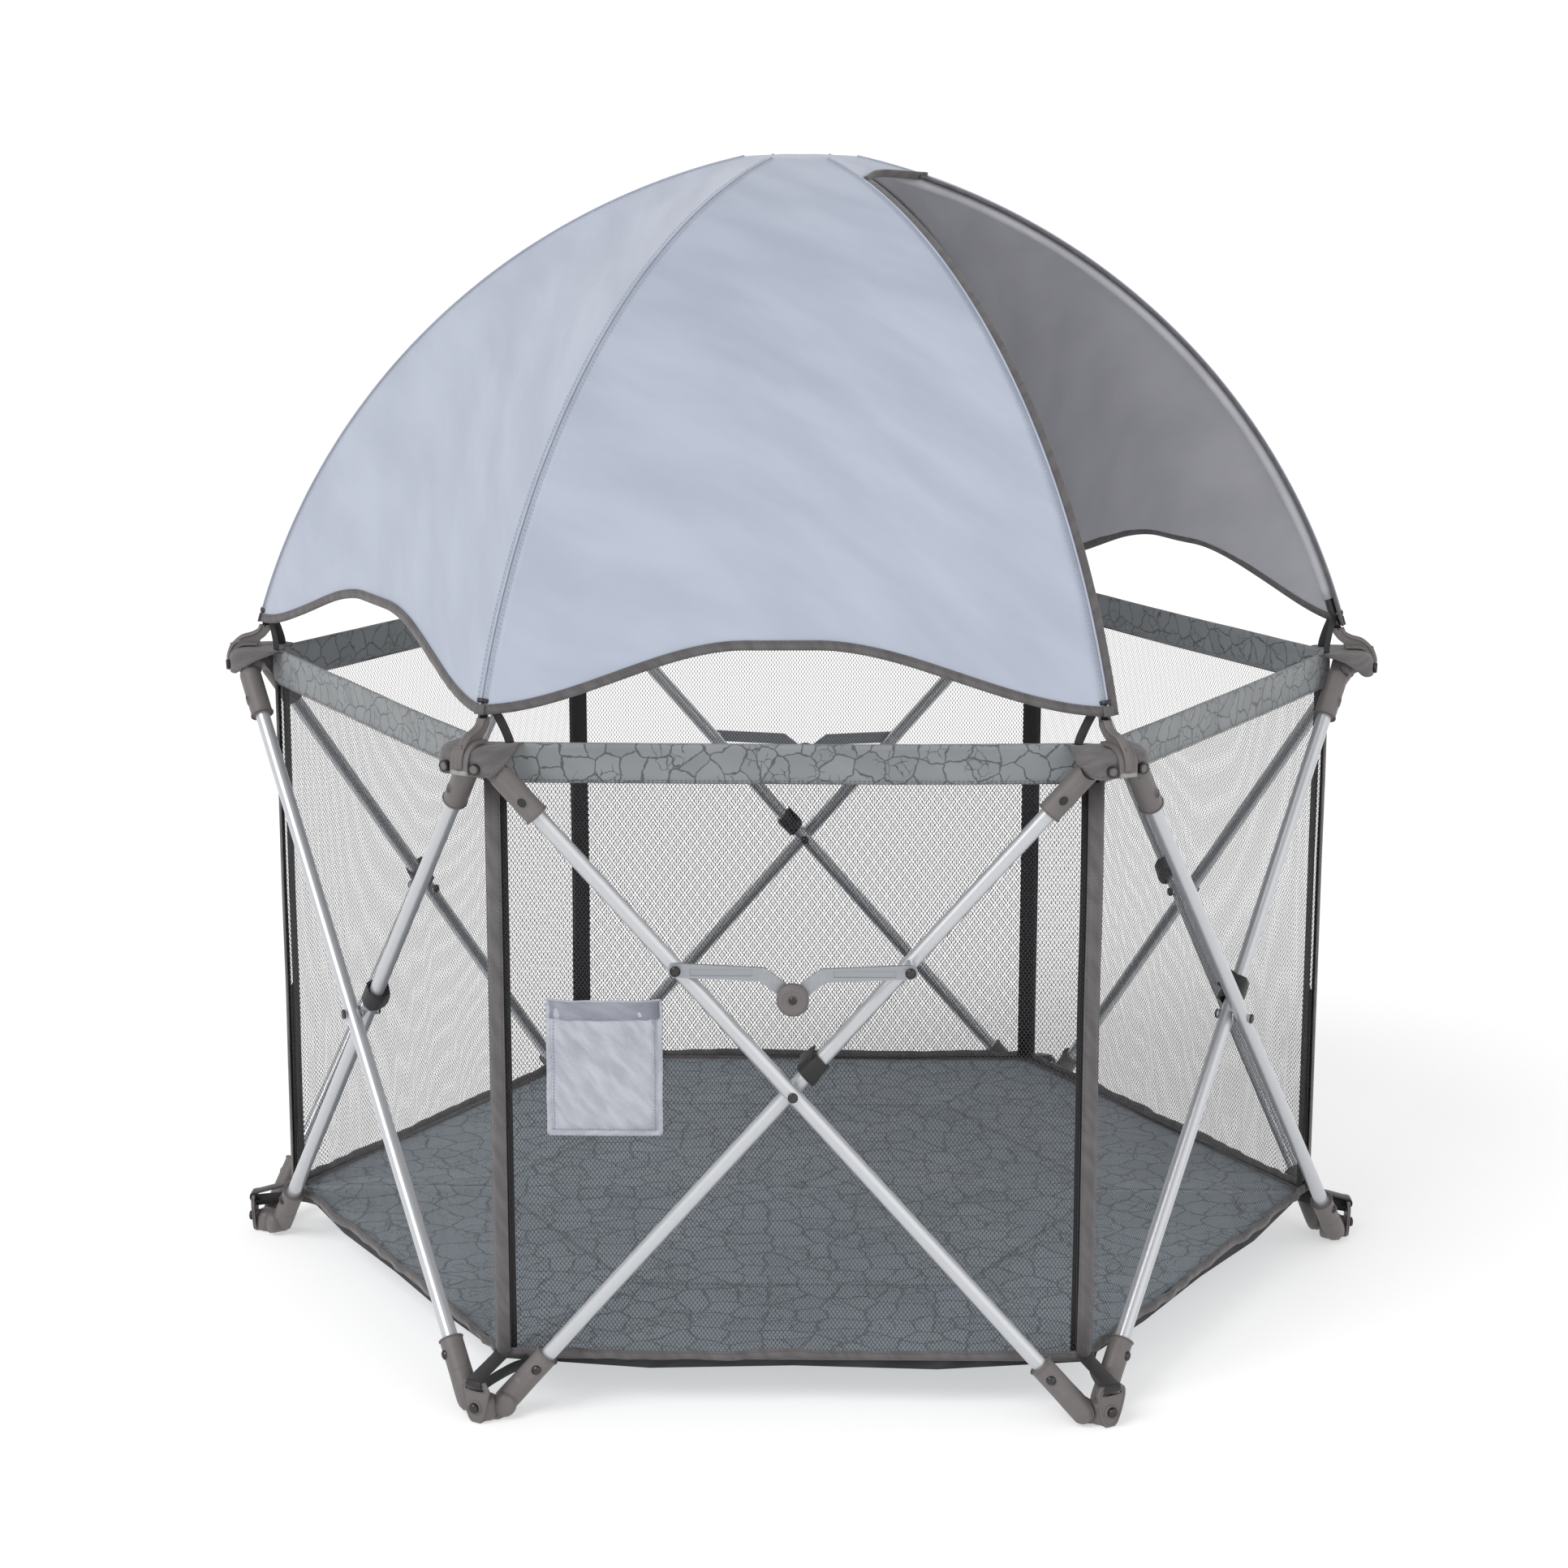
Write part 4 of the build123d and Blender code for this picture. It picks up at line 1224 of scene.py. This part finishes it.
def alongTable(table, q):
    # straight-line reading of a table of rows, q from 0 to 1
    place = min(max(q, 0.0), 1.0) * (len(table) - 1)
    k = min(int(place), len(table) - 2)
    share = place - k
    a, b = table[k], table[k + 1]
    if isinstance(a, tuple):
        return [x + (y - x) * share for x, y in zip(a, b)]
    return a + (b - a) * share


def coverPoint(s, t, i, lift=0.0):
    hand = -1 if s < 0.5 else 1
    q = abs(s * 2 - 1)
    plan = alongTable([row[1:] for row in coverPlan], q)
    lowZ = alongTable(coverLow, q)
    backA = 0.0139 + q * 0.036
    back = (-0.5 * backA + cos30 * cover["back"], cos30 * backA + 0.5 * cover["back"])
    share, z = alongTable(coverRise, t)
    z = max(z, lowZ)
    x = back[0] + (plan[0] - back[0]) * share
    y = back[1] * (1 if q > 0.02 else q / 0.02) + (plan[1] - back[1]) * share
    tuck = wave(s * 7, t * 4, 121 + i) * cover["tuck"] * (0.4 + q)
    return Vector((yard["corner"] + x + lift + tuck, hand * max(y, 0.0), z - 0.0012 * q + tuck * 0.5))


# outlines of the small parts on each bracket
snapRing = [(0.0056, -0.0025), (0.0057, 0.0022), (0.0054, 0.0029), (0.0050, 0.0031), (0.0046, 0.0027),
            (0.0044, 0.0020)]
snapFace = [(0.0047, -0.001), (0.0046, 0.0023), (0.0030, 0.0027), (0.0002, 0.0028)]
stripSection = [(-0.0022, -0.0016), (0.0022, -0.0016), (0.0026, 0.0), (0.0022, 0.0016), (-0.0022, 0.0016),
                (-0.0026, 0.0)]
ribRoute = [(0.6474, 0, 0.6786), (0.6474, 0, 0.686), (0.6455, 0, 0.6925), (0.6421, 0, 0.6990),
            (0.6318, 0, 0.7080), (0.6195, 0, 0.7118), (0.6120, 0, 0.7160), (0.6090, 0, 0.7218)]
ribSection = [(-0.0050, -0.0016), (-0.0043, 0.0004), (-0.0024, 0.0013), (-0.0011, 0.0015), (-0.0007, 0.0024),
              (0.0007, 0.0024), (0.0011, 0.0015), (0.0024, 0.0013), (0.0043, 0.0004), (0.0050, -0.0016)]
plugOutline = [(0.0040, -0.003), (0.0042, 0.0035), (0.0052, 0.0042), (0.0054, 0.0062), (0.0045, 0.0070),
               (0.0036, 0.0096), (0.0012, 0.0112)]
for i, corner in enumerate(corners):
    turn = cornerMatrix(i)
    wrap = sheetPiece(f"{corner}_corner_cover", 61, 25, lambda s, t, i=i: coverPoint(s, t, i),
                      lambda s, t: (s * 0.14, t * 0.07), "cover", turn)
    addThickness(wrap, cover["thickness"], offset=1.0)
    finer = wrap.modifiers.new("finer", "SUBSURF")
    finer.render_levels = 1
    fit(wrap, corner + "_top")
    for end, name in ((0.5 - 0.488 * 0.94, "a"), (0.5 + 0.488 * 0.94, "b")):
        row = [coverPoint(end, t / 20, i, 0.0006) for t in range(21)]
        sewn = stitchRow(f"{corner}_cover_stitches_{name}", row, lambda k: Vector((0.6, 0, 0.8)),
                         "darkThread", turn)
        fit(sewn, corner + "_top")
    lowRow = [coverPoint(k / 60, 0.93, i, 0.0018) for k in range(4, 57)]
    sewn = stitchRow(f"{corner}_cover_edge_stitches", lowRow, lambda k: outwards, "darkThread", turn)
    fit(sewn, corner + "_top")
    for hand, name in ((-1, "a"), (1, "b")):
        at = Vector((yard["corner"] + cover["snapOut"], hand * cover["snapAlong"], cover["snapZ"]))
        place = turn @ facing(at, Vector((1, hand * 0.18, -0.05)).normalized())
        ring = turnedPiece(f"{corner}_snap_ring_{name}", snapRing, "black", place)
        face = turnedPiece(f"{corner}_snap_face_{name}", snapFace, "taupe", place)
        for piece in (ring, face):
            fit(piece, corner + "_top")
    stripX = yard["corner"] + 0.0200
    line = [Vector((stripX, y, cover["stripZ"])) for y in (-0.0098, -0.005, 0.0, 0.005, 0.0098)]
    strip = sweepPiece(f"{corner}_pale_strip", line, stripSection, lambda k: upwards, "pale", turn)
    fit(strip, corner + "_top")
    rib = sweepPiece(f"{corner}_bracket_rib", smoothPath(ribRoute, 0.002), ribSection, lambda k: sideways,
                     "taupe", turn)
    fit(rib, corner + "_top")
    plugAt = Vector((yard["corner"] - 0.0208, 0, 0.7215))
    plug = turnedPiece(f"{corner}_horn_plug", plugOutline, "black",
                       turn @ facing(plugAt, Vector((-0.22, 0, 0.97)), outwards))
    fit(plug, corner + "_top")
    collarAt = Vector((yard["corner"] - 0.0218, 0, 0.7395))
    collar = turnedPiece(f"{corner}_pole_collar", domeHead(0.0064, 0.0050, 0.0009), "black",
                         turn @ facing(collarAt, Vector((0.3, 0, -0.95)), outwards))
    fit(collar, "canopy")
print("corner covers made")


# sockets: rivets at the feet, holes at the top

def memberFrame(start, end, depth):
    # X along the member, Y across it in the side's plane, Z outward; start and end are (along, height)
    origin = Vector((yard["apothem"] + depth, start[0], start[1]))
    x = Vector((0, end[0] - start[0], end[1] - start[1])).normalized()
    z = outwards
    y = z.cross(x)
    return Matrix.Translation(origin) @ Matrix((x, y, z)).transposed().to_4x4()


def curvedButton(name, place, spot, profile, material):
    # a button that follows the round socket; profile rows are (radius, lift above the socket)
    centre, oval = spot
    points, uvs = [], []
    steps = 24
    for r, lift in profile:
        for k in range(steps):
            a = 2 * math.pi * k / steps
            across = r * math.sin(a)
            along = centre + r * oval * math.cos(a)
            points.append((along, across, math.sqrt(max(socket["radius"] ** 2 - across ** 2, 1e-9)) + lift))
            uvs.append((along, across))
    faces = gridFaces(len(profile), steps, wrap=True)
    faces.append(tuple((len(profile) - 1) * steps + k for k in range(steps)))
    return makePiece(name, points, faces, material, place, uvs)


# places along a tube from its pivot, and sizes across it
socket = {"radius": 0.0120, "rivetAt": 0.0500, "holeAt": 0.0460, "holeStretch": 1.25, "lipAt": 0.0655,
          "lipRadius": 0.01225, "lip": 0.0010}
rivetDome = [(0.0052, -0.0004), (0.0051, 0.0005), (0.0046, 0.0013), (0.0036, 0.0021), (0.0022, 0.0026),
             (0.0008, 0.0028)]
holeRim = [(0.0052, -0.0003), (0.0050, 0.0006), (0.0043, 0.0009), (0.0040, 0.0002)]
holeWell = [(0.0041, 0.00026), (0.0030, 0.00030), (0.0020, 0.00032), (0.0004, 0.00032)]
capOutline = [(0.0122, -0.0080), (0.0124, 0.0030), (0.0117, 0.0062), (0.0094, 0.0085), (0.0055, 0.0098),
              (0.0006, 0.0102)]
elbowOutline = [(0.0006, -0.0124), (0.0050, -0.0114), (0.0090, -0.0086), (0.0114, -0.0050), (0.0124, 0.0),
                (0.01245, 0.008), (0.01235, 0.016), (0.0121, 0.026), (0.01195, 0.034)]
tieLook = {"above": 0.030, "radius": 0.0100, "length": 0.025, "thickness": 0.0018, "tail": 0.023}
pin = yard["pinAlong"]
members = {"inner": ((-pin, yard["footPinZ"]), (pin, yard["topPinZ"]), -yard["tubeDepth"]),
           "outer": ((pin, yard["footPinZ"]), (-pin, yard["topPinZ"]), yard["tubeDepth"])}
for i, side in enumerate(sides):
    for kind, (footEnd, topEnd, depth) in members.items():
        body = f"{side}_{kind}"
        lower = sideMatrix(i) @ memberFrame(footEnd, topEnd, depth)
        upper = sideMatrix(i) @ memberFrame(topEnd, footEnd, depth)
        hole = (socket["holeAt"], socket["holeStretch"])
        rivet = curvedButton(f"{body}_foot_rivet", lower, (socket["rivetAt"], 1.0), rivetDome, "rivet")
        rim = curvedButton(f"{body}_hole_rim", upper, hole, holeRim, "taupe")
        # the hole is a flat black disc inside the rim: painted shade standing in for the hollow
        well = curvedButton(f"{body}_hole_well", upper, hole, holeWell, "black")
        made = [(rivet, "rivet_metal"), (rim, "moulded_plastic"), (well, "black_plastic")]
        if kind == "inner":
            # the foot's own round over the pivot, where the socket is behind it
            at = sideMatrix(i) @ Vector((yard["apothem"], footEnd[0], footEnd[1]))
            cap = turnedPiece(f"{side}_foot_cap", capOutline, "taupe",
                              facing(at, sideMatrix(i).to_3x3() @ outwards), steps=40)
            fit(cap, corners[i] + "_foot_body")
        # the socket's elbow, which carries its round over the pivot
        boot = turnedPiece(f"{body}_foot_elbow", elbowOutline, "taupe",
                           lower @ facing(Vector((0, 0, 0)), outwards), steps=40)
        made.append((boot, "moulded_plastic"))
        for place, name in ((lower, "foot"), (upper, "top")):
            line = [Vector((socket["lipAt"], y, z)) for y, z in roundSection(socket["lipRadius"], 28)]
            lip = sweepPiece(f"{body}_{name}_lip", line, roundSection(socket["lip"], 6), lambda k: outwards,
                             "taupe", place, closed=True)
            made.append((lip, "moulded_plastic"))
        for piece, slotName in made:
            fit(piece, body)
    # hook-and-loop tie that holds the net to the inner tube, just above the crossing
    span = math.dist(members["inner"][0], members["inner"][1])
    place = sideMatrix(i) @ memberFrame(members["inner"][0], members["inner"][1], -yard["tubeDepth"])

    def tiePoint(s, t, i=i):
        a = 2 * math.pi * s + 0.3
        swell = 0.0011 * wave(math.cos(a) * 2 + t * 2, math.sin(a) * 2, 131 + i)
        swell += 0.0005 * math.sin(a * 3 + t * 4)
        ends = 0.0006 * (1 - (2 * t - 1) ** 4)
        back = 0.0040 * max(0.0, -math.sin(a)) ** 2
        r = tieLook["radius"] + swell + ends + back
        skew = 0.0016 * math.sin(a + 1.0)
        along = span / 2 + tieLook["above"] + (t - 0.5) * tieLook["length"] + skew
        return Vector((along, r * math.cos(a), r * math.sin(a)))

    tie = sheetPiece(f"{side}_tie", 41, 9, tiePoint, lambda s, t: (s * 0.065, t * 0.025), "webbing", place)
    addThickness(tie, tieLook["thickness"], offset=1.0)
    tailStart = Vector((span / 2 + tieLook["above"], 0.0108, 0.004))
    line = [place @ (tailStart + Vector((0.0015, 0.0006, -0.0030)) * k) for k in range(6)]
    tail = sweepPiece(f"{side}_tie_tail", line, strapSection(tieLook["tail"], tieLook["thickness"]),
                      lambda k, place=place: place.to_3x3() @ outwards, "webbing")
    for piece in (tie, tail):
        fit(piece, side + "_inner")
print("sockets and ties made")


# feet: bordered tab, rivet, webbing through the slot

tabOutline = [(-0.0155, 0.0362), (-0.0112, 0.0432), (0.0112, 0.0432), (0.0155, 0.0362), (0.0128, 0.0210),
              (0.0082, 0.0078), (0.0046, 0.0030), (-0.0046, 0.0030), (-0.0082, 0.0078), (-0.0128, 0.0210)]
borderSection = [(-0.0011, -0.0004), (0.0011, -0.0004), (0.0012, 0.0006), (0.0007, 0.0012), (-0.0007, 0.0012),
                 (-0.0012, 0.0006)]
knuckleOutline = [(0.0090, 0.0002), (0.0122, 0.0016), (0.0138, 0.0060), (0.0142, 0.0120), (0.0138, 0.0180),
                  (0.0120, 0.0226), (0.0080, 0.0250), (0.0010, 0.0256)]
washerOutline = [(0.0076, -0.0004), (0.0076, 0.0008), (0.0068, 0.0013), (0.0054, 0.0010)]
# from inside the corner binding, out under the wall and through the tab's slot
webbingRoute = [(0.5880, 0, 0.300), (0.5882, 0, 0.200), (0.5890, 0, 0.120), (0.5900, 0, 0.075),
                (0.5945, 0, 0.0600), (0.6060, 0, 0.0555), (0.6220, 0, 0.0512), (0.6360, 0, 0.0474),
                (0.6428, 0, 0.0462), (0.6446, 0, 0.0428), (0.6440, 0, 0.0392), (0.6405, 0, 0.0372),
                (0.6340, 0, 0.0376)]
# a second strap runs from the slot behind the socket and under the mat
underRoute = [(0.6400, 0.002, 0.0365), (0.6280, 0.003, 0.0382), (0.6080, 0.006, 0.0412),
              (0.5880, 0.013, 0.0450), (0.5730, 0.026, 0.0476), (0.5580, 0.040, 0.0480)]
foot = {"tabFace": yard["corner"] + 0.0170, "rivetZ": 0.0170, "rivet": 0.0055, "slotZ": 0.0370,
        "slotHalf": 0.0098, "slotRise": 0.0030, "rim": 0.0008, "webbing": 0.0185, "underStrap": 0.0150}


def slotPoint(k, count=24):
    # a long slot with round ends, as a squared-off ellipse
    a = 2 * math.pi * k / count
    y = foot["slotHalf"] * math.copysign(min(1, abs(math.cos(a)) * 1.25), math.cos(a)) + 0.0024 * math.cos(a)
    return Vector((foot["tabFace"], y, foot["slotZ"] + foot["slotRise"] * math.sin(a)))


for i, corner in enumerate(corners):
    turn = cornerMatrix(i)
    face = foot["tabFace"]
    loop = smoothPath([Vector((face, y, z)) for y, z in tabOutline + tabOutline[:1]], 0.003)[:-1]
    border = sweepPiece(f"{corner}_tab_border", loop, borderSection,
                        lambda k: Vector((0, loop[k].y, loop[k].z - 0.024)), "taupe", turn, closed=True)
    rim = sweepPiece(f"{corner}_slot_rim", [slotPoint(k) for k in range(24)], roundSection(foot["rim"], 6),
                     lambda k: outwards, "taupe", turn, closed=True)
    head = turnedPiece(f"{corner}_tab_rivet", domeHead(foot["rivet"], 0.0036), "rivet",
                       turn @ facing(Vector((face + 0.0026, 0, foot["rivetZ"])), outwards))
    knuckle = turnedPiece(f"{corner}_foot_knuckle", knuckleOutline, "taupe",
                          turn @ Matrix.Translation((yard["corner"] + 0.0005, 0, 0)), steps=36)
    washer = turnedPiece(f"{corner}_tab_washer", washerOutline, "taupe",
                         turn @ facing(Vector((face, 0, foot["rivetZ"])), outwards))
    webbing = sweepPiece(f"{corner}_foot_webbing", smoothPath(webbingRoute, 0.004),
                         strapSection(foot["webbing"], 0.0015), lambda k: sideways, "webbing", turn)
    for piece, slotName in ((border, "moulded_plastic"), (rim, "moulded_plastic"), (head, "rivet_metal"),
                            (washer, "moulded_plastic"), (knuckle, "moulded_plastic"), (webbing, "webbing")):
        fit(piece, corner + "_foot_body")
    under = sweepPiece(f"{corner}_under_strap", smoothPath(underRoute, 0.004),
                       strapSection(foot["underStrap"], 0.0014),
                       lambda k: Vector((0.35, 0.2, 0.9)), "webbing", turn)
    fit(under, corner + "_foot_body")
print("feet made")


# brace: heads on its pivots and a dished lock

brace = {"reach": 0.174, "lockDrop": 0.027, "leftOut": 0.0246, "rightOut": 0.0284, "lockOut": 0.0316,
         "rimOut": 0.0336, "head": 0.0054, "lockHead": 0.0042}
lockOutline = [(0.0143, -0.0006), (0.0140, 0.0004), (0.0128, 0.0009), (0.0112, 0.0009), (0.0088, 0.0001),
               (0.0074, -0.0009), (0.0066, -0.0020)]
angle = math.atan2(yard["topPinZ"] - yard["footPinZ"], 2 * pin)
braceAlong = brace["reach"] * math.cos(angle)
braceZ = yard["crossZ"] + brace["reach"] * math.sin(angle)
lockZ = braceZ - brace["lockDrop"]
for i in bracedSides:
    side = sides[i]
    turn = sideMatrix(i)
    spots = [("left_head", -braceAlong, braceZ, brace["leftOut"], brace["head"], f"{side}_outer"),
             ("right_head", braceAlong, braceZ, brace["rightOut"], brace["head"], f"{side}_inner"),
             ("lock_head", 0.0, lockZ, brace["lockOut"], brace["lockHead"], f"{side}_right_link")]
    for name, along, height, depth, radius, body in spots:
        at = Vector((yard["apothem"] + depth, along, height))
        head = turnedPiece(f"{side}_brace_{name}", domeHead(radius, 0.0026, 0.0005), "rivet",
                           turn @ facing(at, outwards))
        fit(head, body)
    at = Vector((yard["apothem"] + brace["rimOut"], 0, lockZ))
    dish = turnedPiece(f"{side}_lock_rim", lockOutline, "taupe", turn @ facing(at, outwards), steps=40)
    fit(dish, f"{side}_right_link")
for i, side in enumerate(sides):
    for name, depth, direction in (("outside", 0.0190, 1), ("inside", -0.0203, -1)):
        at = Vector((yard["apothem"] + depth, 0, yard["crossZ"]))
        head = turnedPiece(f"{side}_crossing_head_{name}", domeHead(0.0052, 0.0020), "rivet",
                           sideMatrix(i) @ facing(at, Vector((direction, 0, 0))))
        fit(head, side + "_outer")
print("brace made")


# storage pocket on the front wall

pocket = {"left": -0.2450, "right": -0.1320, "low": 0.2955, "high": 0.4355, "back": -0.0235,
          "belly": 0.0085, "hem": 0.019, "crumple": 0.0030, "creases": 0.0014, "fold": 0.0012,
          "edge": 0.0062}


def pocketPoint(s, t, lift=0.0):
    y = pocket["left"] + (pocket["right"] - pocket["left"]) * s
    z = pocket["low"] + (pocket["high"] - pocket["low"]) * t
    edge = smooth(min(s, 1 - s) / 0.10) * smooth(t / 0.08)
    mouth = 0.55 + 0.45 * smooth((1 - t) / 0.18)
    crumple = wave(y * 34 + z * 21, z * 26 - y * 12, 141) * pocket["crumple"]
    crumple += wave(y * 70, z * 60 + y * 30, 145) * pocket["creases"]
    fold = pocket["fold"] * math.sin(y * 190 + z * 70) * math.exp(-((t - 0.8) / 0.25) ** 2)
    depth = pocket["back"] + 0.0010 + (pocket["belly"] * 0.52 * mouth + crumple + fold) * edge + lift
    sideWobble = wave(0.4, z * 30, 149) * 0.0008
    droop = 0.0010 * math.sin(math.pi * s) * (1 if t > 0.5 else 0.4)
    return Vector((yard["apothem"] + depth, y + sideWobble * (1 if s < 0.1 or s > 0.9 else 0.3), z - droop))


front = sheetPiece("pocket_front", 46, 54, pocketPoint, lambda s, t: (s * 0.113, t * 0.141), "pouch",
                   sideMatrix(0))
addThickness(front, 0.0007)
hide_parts("storage_pocket")
share = pocket["hem"] / (pocket["high"] - pocket["low"])
hemBand = sheetPiece("pocket_hem", 46, 9, lambda s, t: pocketPoint(s, 1 - share * (1 - t), 0.0009),
                     lambda s, t: (s * 0.113, t * 0.019), "pouchHem", sideMatrix(0))
addThickness(hemBand, 0.0010)
pieces = [front, hemBand]
topRoll = [pocketPoint(k / 45, 1.0, 0.0004) for k in range(46)]
pieces.append(sweepPiece("pocket_mouth_roll", topRoll, roundSection(0.0012, 8), lambda k: outwards, "pouch",
                         sideMatrix(0)))
edges = {"left_edge": ([pocketPoint(0.012, k / 40, 0.0004) for k in range(41)], sideways),
         "right_edge": ([pocketPoint(0.988, k / 40, 0.0004) for k in range(41)], sideways),
         "low_edge": ([pocketPoint(k / 40, 0.012, 0.0004) for k in range(41)], upwards)}
for name, (line, across) in edges.items():
    pieces.append(sweepPiece("pocket_" + name, line, strapSection(pocket["edge"], 0.0016),
                             lambda k, across=across: across, "pouch", sideMatrix(0)))
seams = {"left": [pocketPoint(0.052, k / 40, 0.0005) for k in range(40)],
         "right": [pocketPoint(0.948, k / 40, 0.0005) for k in range(40)],
         "low": [pocketPoint(k / 40, 0.04, 0.0005) for k in range(41)],
         "hem": [pocketPoint(k / 40, 1 - share + 0.012, 0.0012) for k in range(41)]}
for name, line in seams.items():
    pieces.append(stitchRow(f"pocket_{name}_stitches", line, lambda k: outwards, "thread", sideMatrix(0),
                            length=0.0024, gap=0.0011))
for piece in pieces:
    rideAndFold(piece, 0)
print("pocket made")


# floor, light and camera

studio = {"paper": 0.62, "glow": 0.45, "horizon": 1.02, "overhead": 0.50, "lens": 75.3,
          "camera": (0.0444, -3.647, 1.356), "pitch": 90 - 12.618, "yaw": 0.0172}
ground = bpy.data.meshes.new("ground")
ground.from_pydata([(-30, -30, 0), (30, -30, 0), (30, 30, 0), (-30, 30, 0)], [], [(0, 1, 2, 3)])
groundPiece = bpy.data.objects.new("ground", ground)
bpy.context.scene.collection.objects.link(groundPiece)
grey = (studio["paper"], studio["paper"], studio["paper"], 1)
paper = newMaterial("pale paper", Base_Color=grey, Roughness=0.9, Specular_IOR_Level=0.0,
                    Emission_Color=(1, 1, 1, 1), Emission_Strength=studio["glow"])[0]
ground.materials.append(paper)

# a white horizon that softens to grey overhead, so the light has a direction
world = bpy.data.worlds.new("studio")
bpy.context.scene.world = world
world.use_nodes = True
sky = world.node_tree
turnTo = put(sky, "ShaderNodeTexCoord")
skyParts = put(sky, "ShaderNodeSeparateXYZ")
feed(sky, turnTo.outputs["Generated"], skyParts.inputs[0])
glow = ramp(sky, skyParts.outputs[2], 0.30, 0.85, studio["horizon"], studio["overhead"])
feed(sky, glow, sky.nodes["Background"].inputs["Strength"])
sky.nodes["Background"].inputs["Color"].default_value = (1.0, 1.0, 1.0, 1)


def softSun(name, origin, spread, power):
    data = bpy.data.lights.new(name, "SUN")
    data.angle = math.radians(spread)
    data.energy = power
    lamp = bpy.data.objects.new(name, data)
    bpy.context.scene.collection.objects.link(lamp)
    lamp.rotation_euler = (-Vector(origin)).to_track_quat("-Z", "Y").to_euler()


softSun("key", (-2.4, -2.4, 3.4), 32, 1.5)
softSun("fill", (3.0, -3.0, 2.0), 60, 0.45)

lens = bpy.data.cameras.new("camera")
lens.lens = studio["lens"]
lens.sensor_width = 36
camera = bpy.data.objects.new("camera", lens)
bpy.context.scene.collection.objects.link(camera)
camera.location = studio["camera"]
camera.rotation_euler = (math.radians(studio["pitch"]), 0, studio["yaw"])
bpy.context.scene.camera = camera
bpy.context.scene.view_settings.view_transform = "Standard"
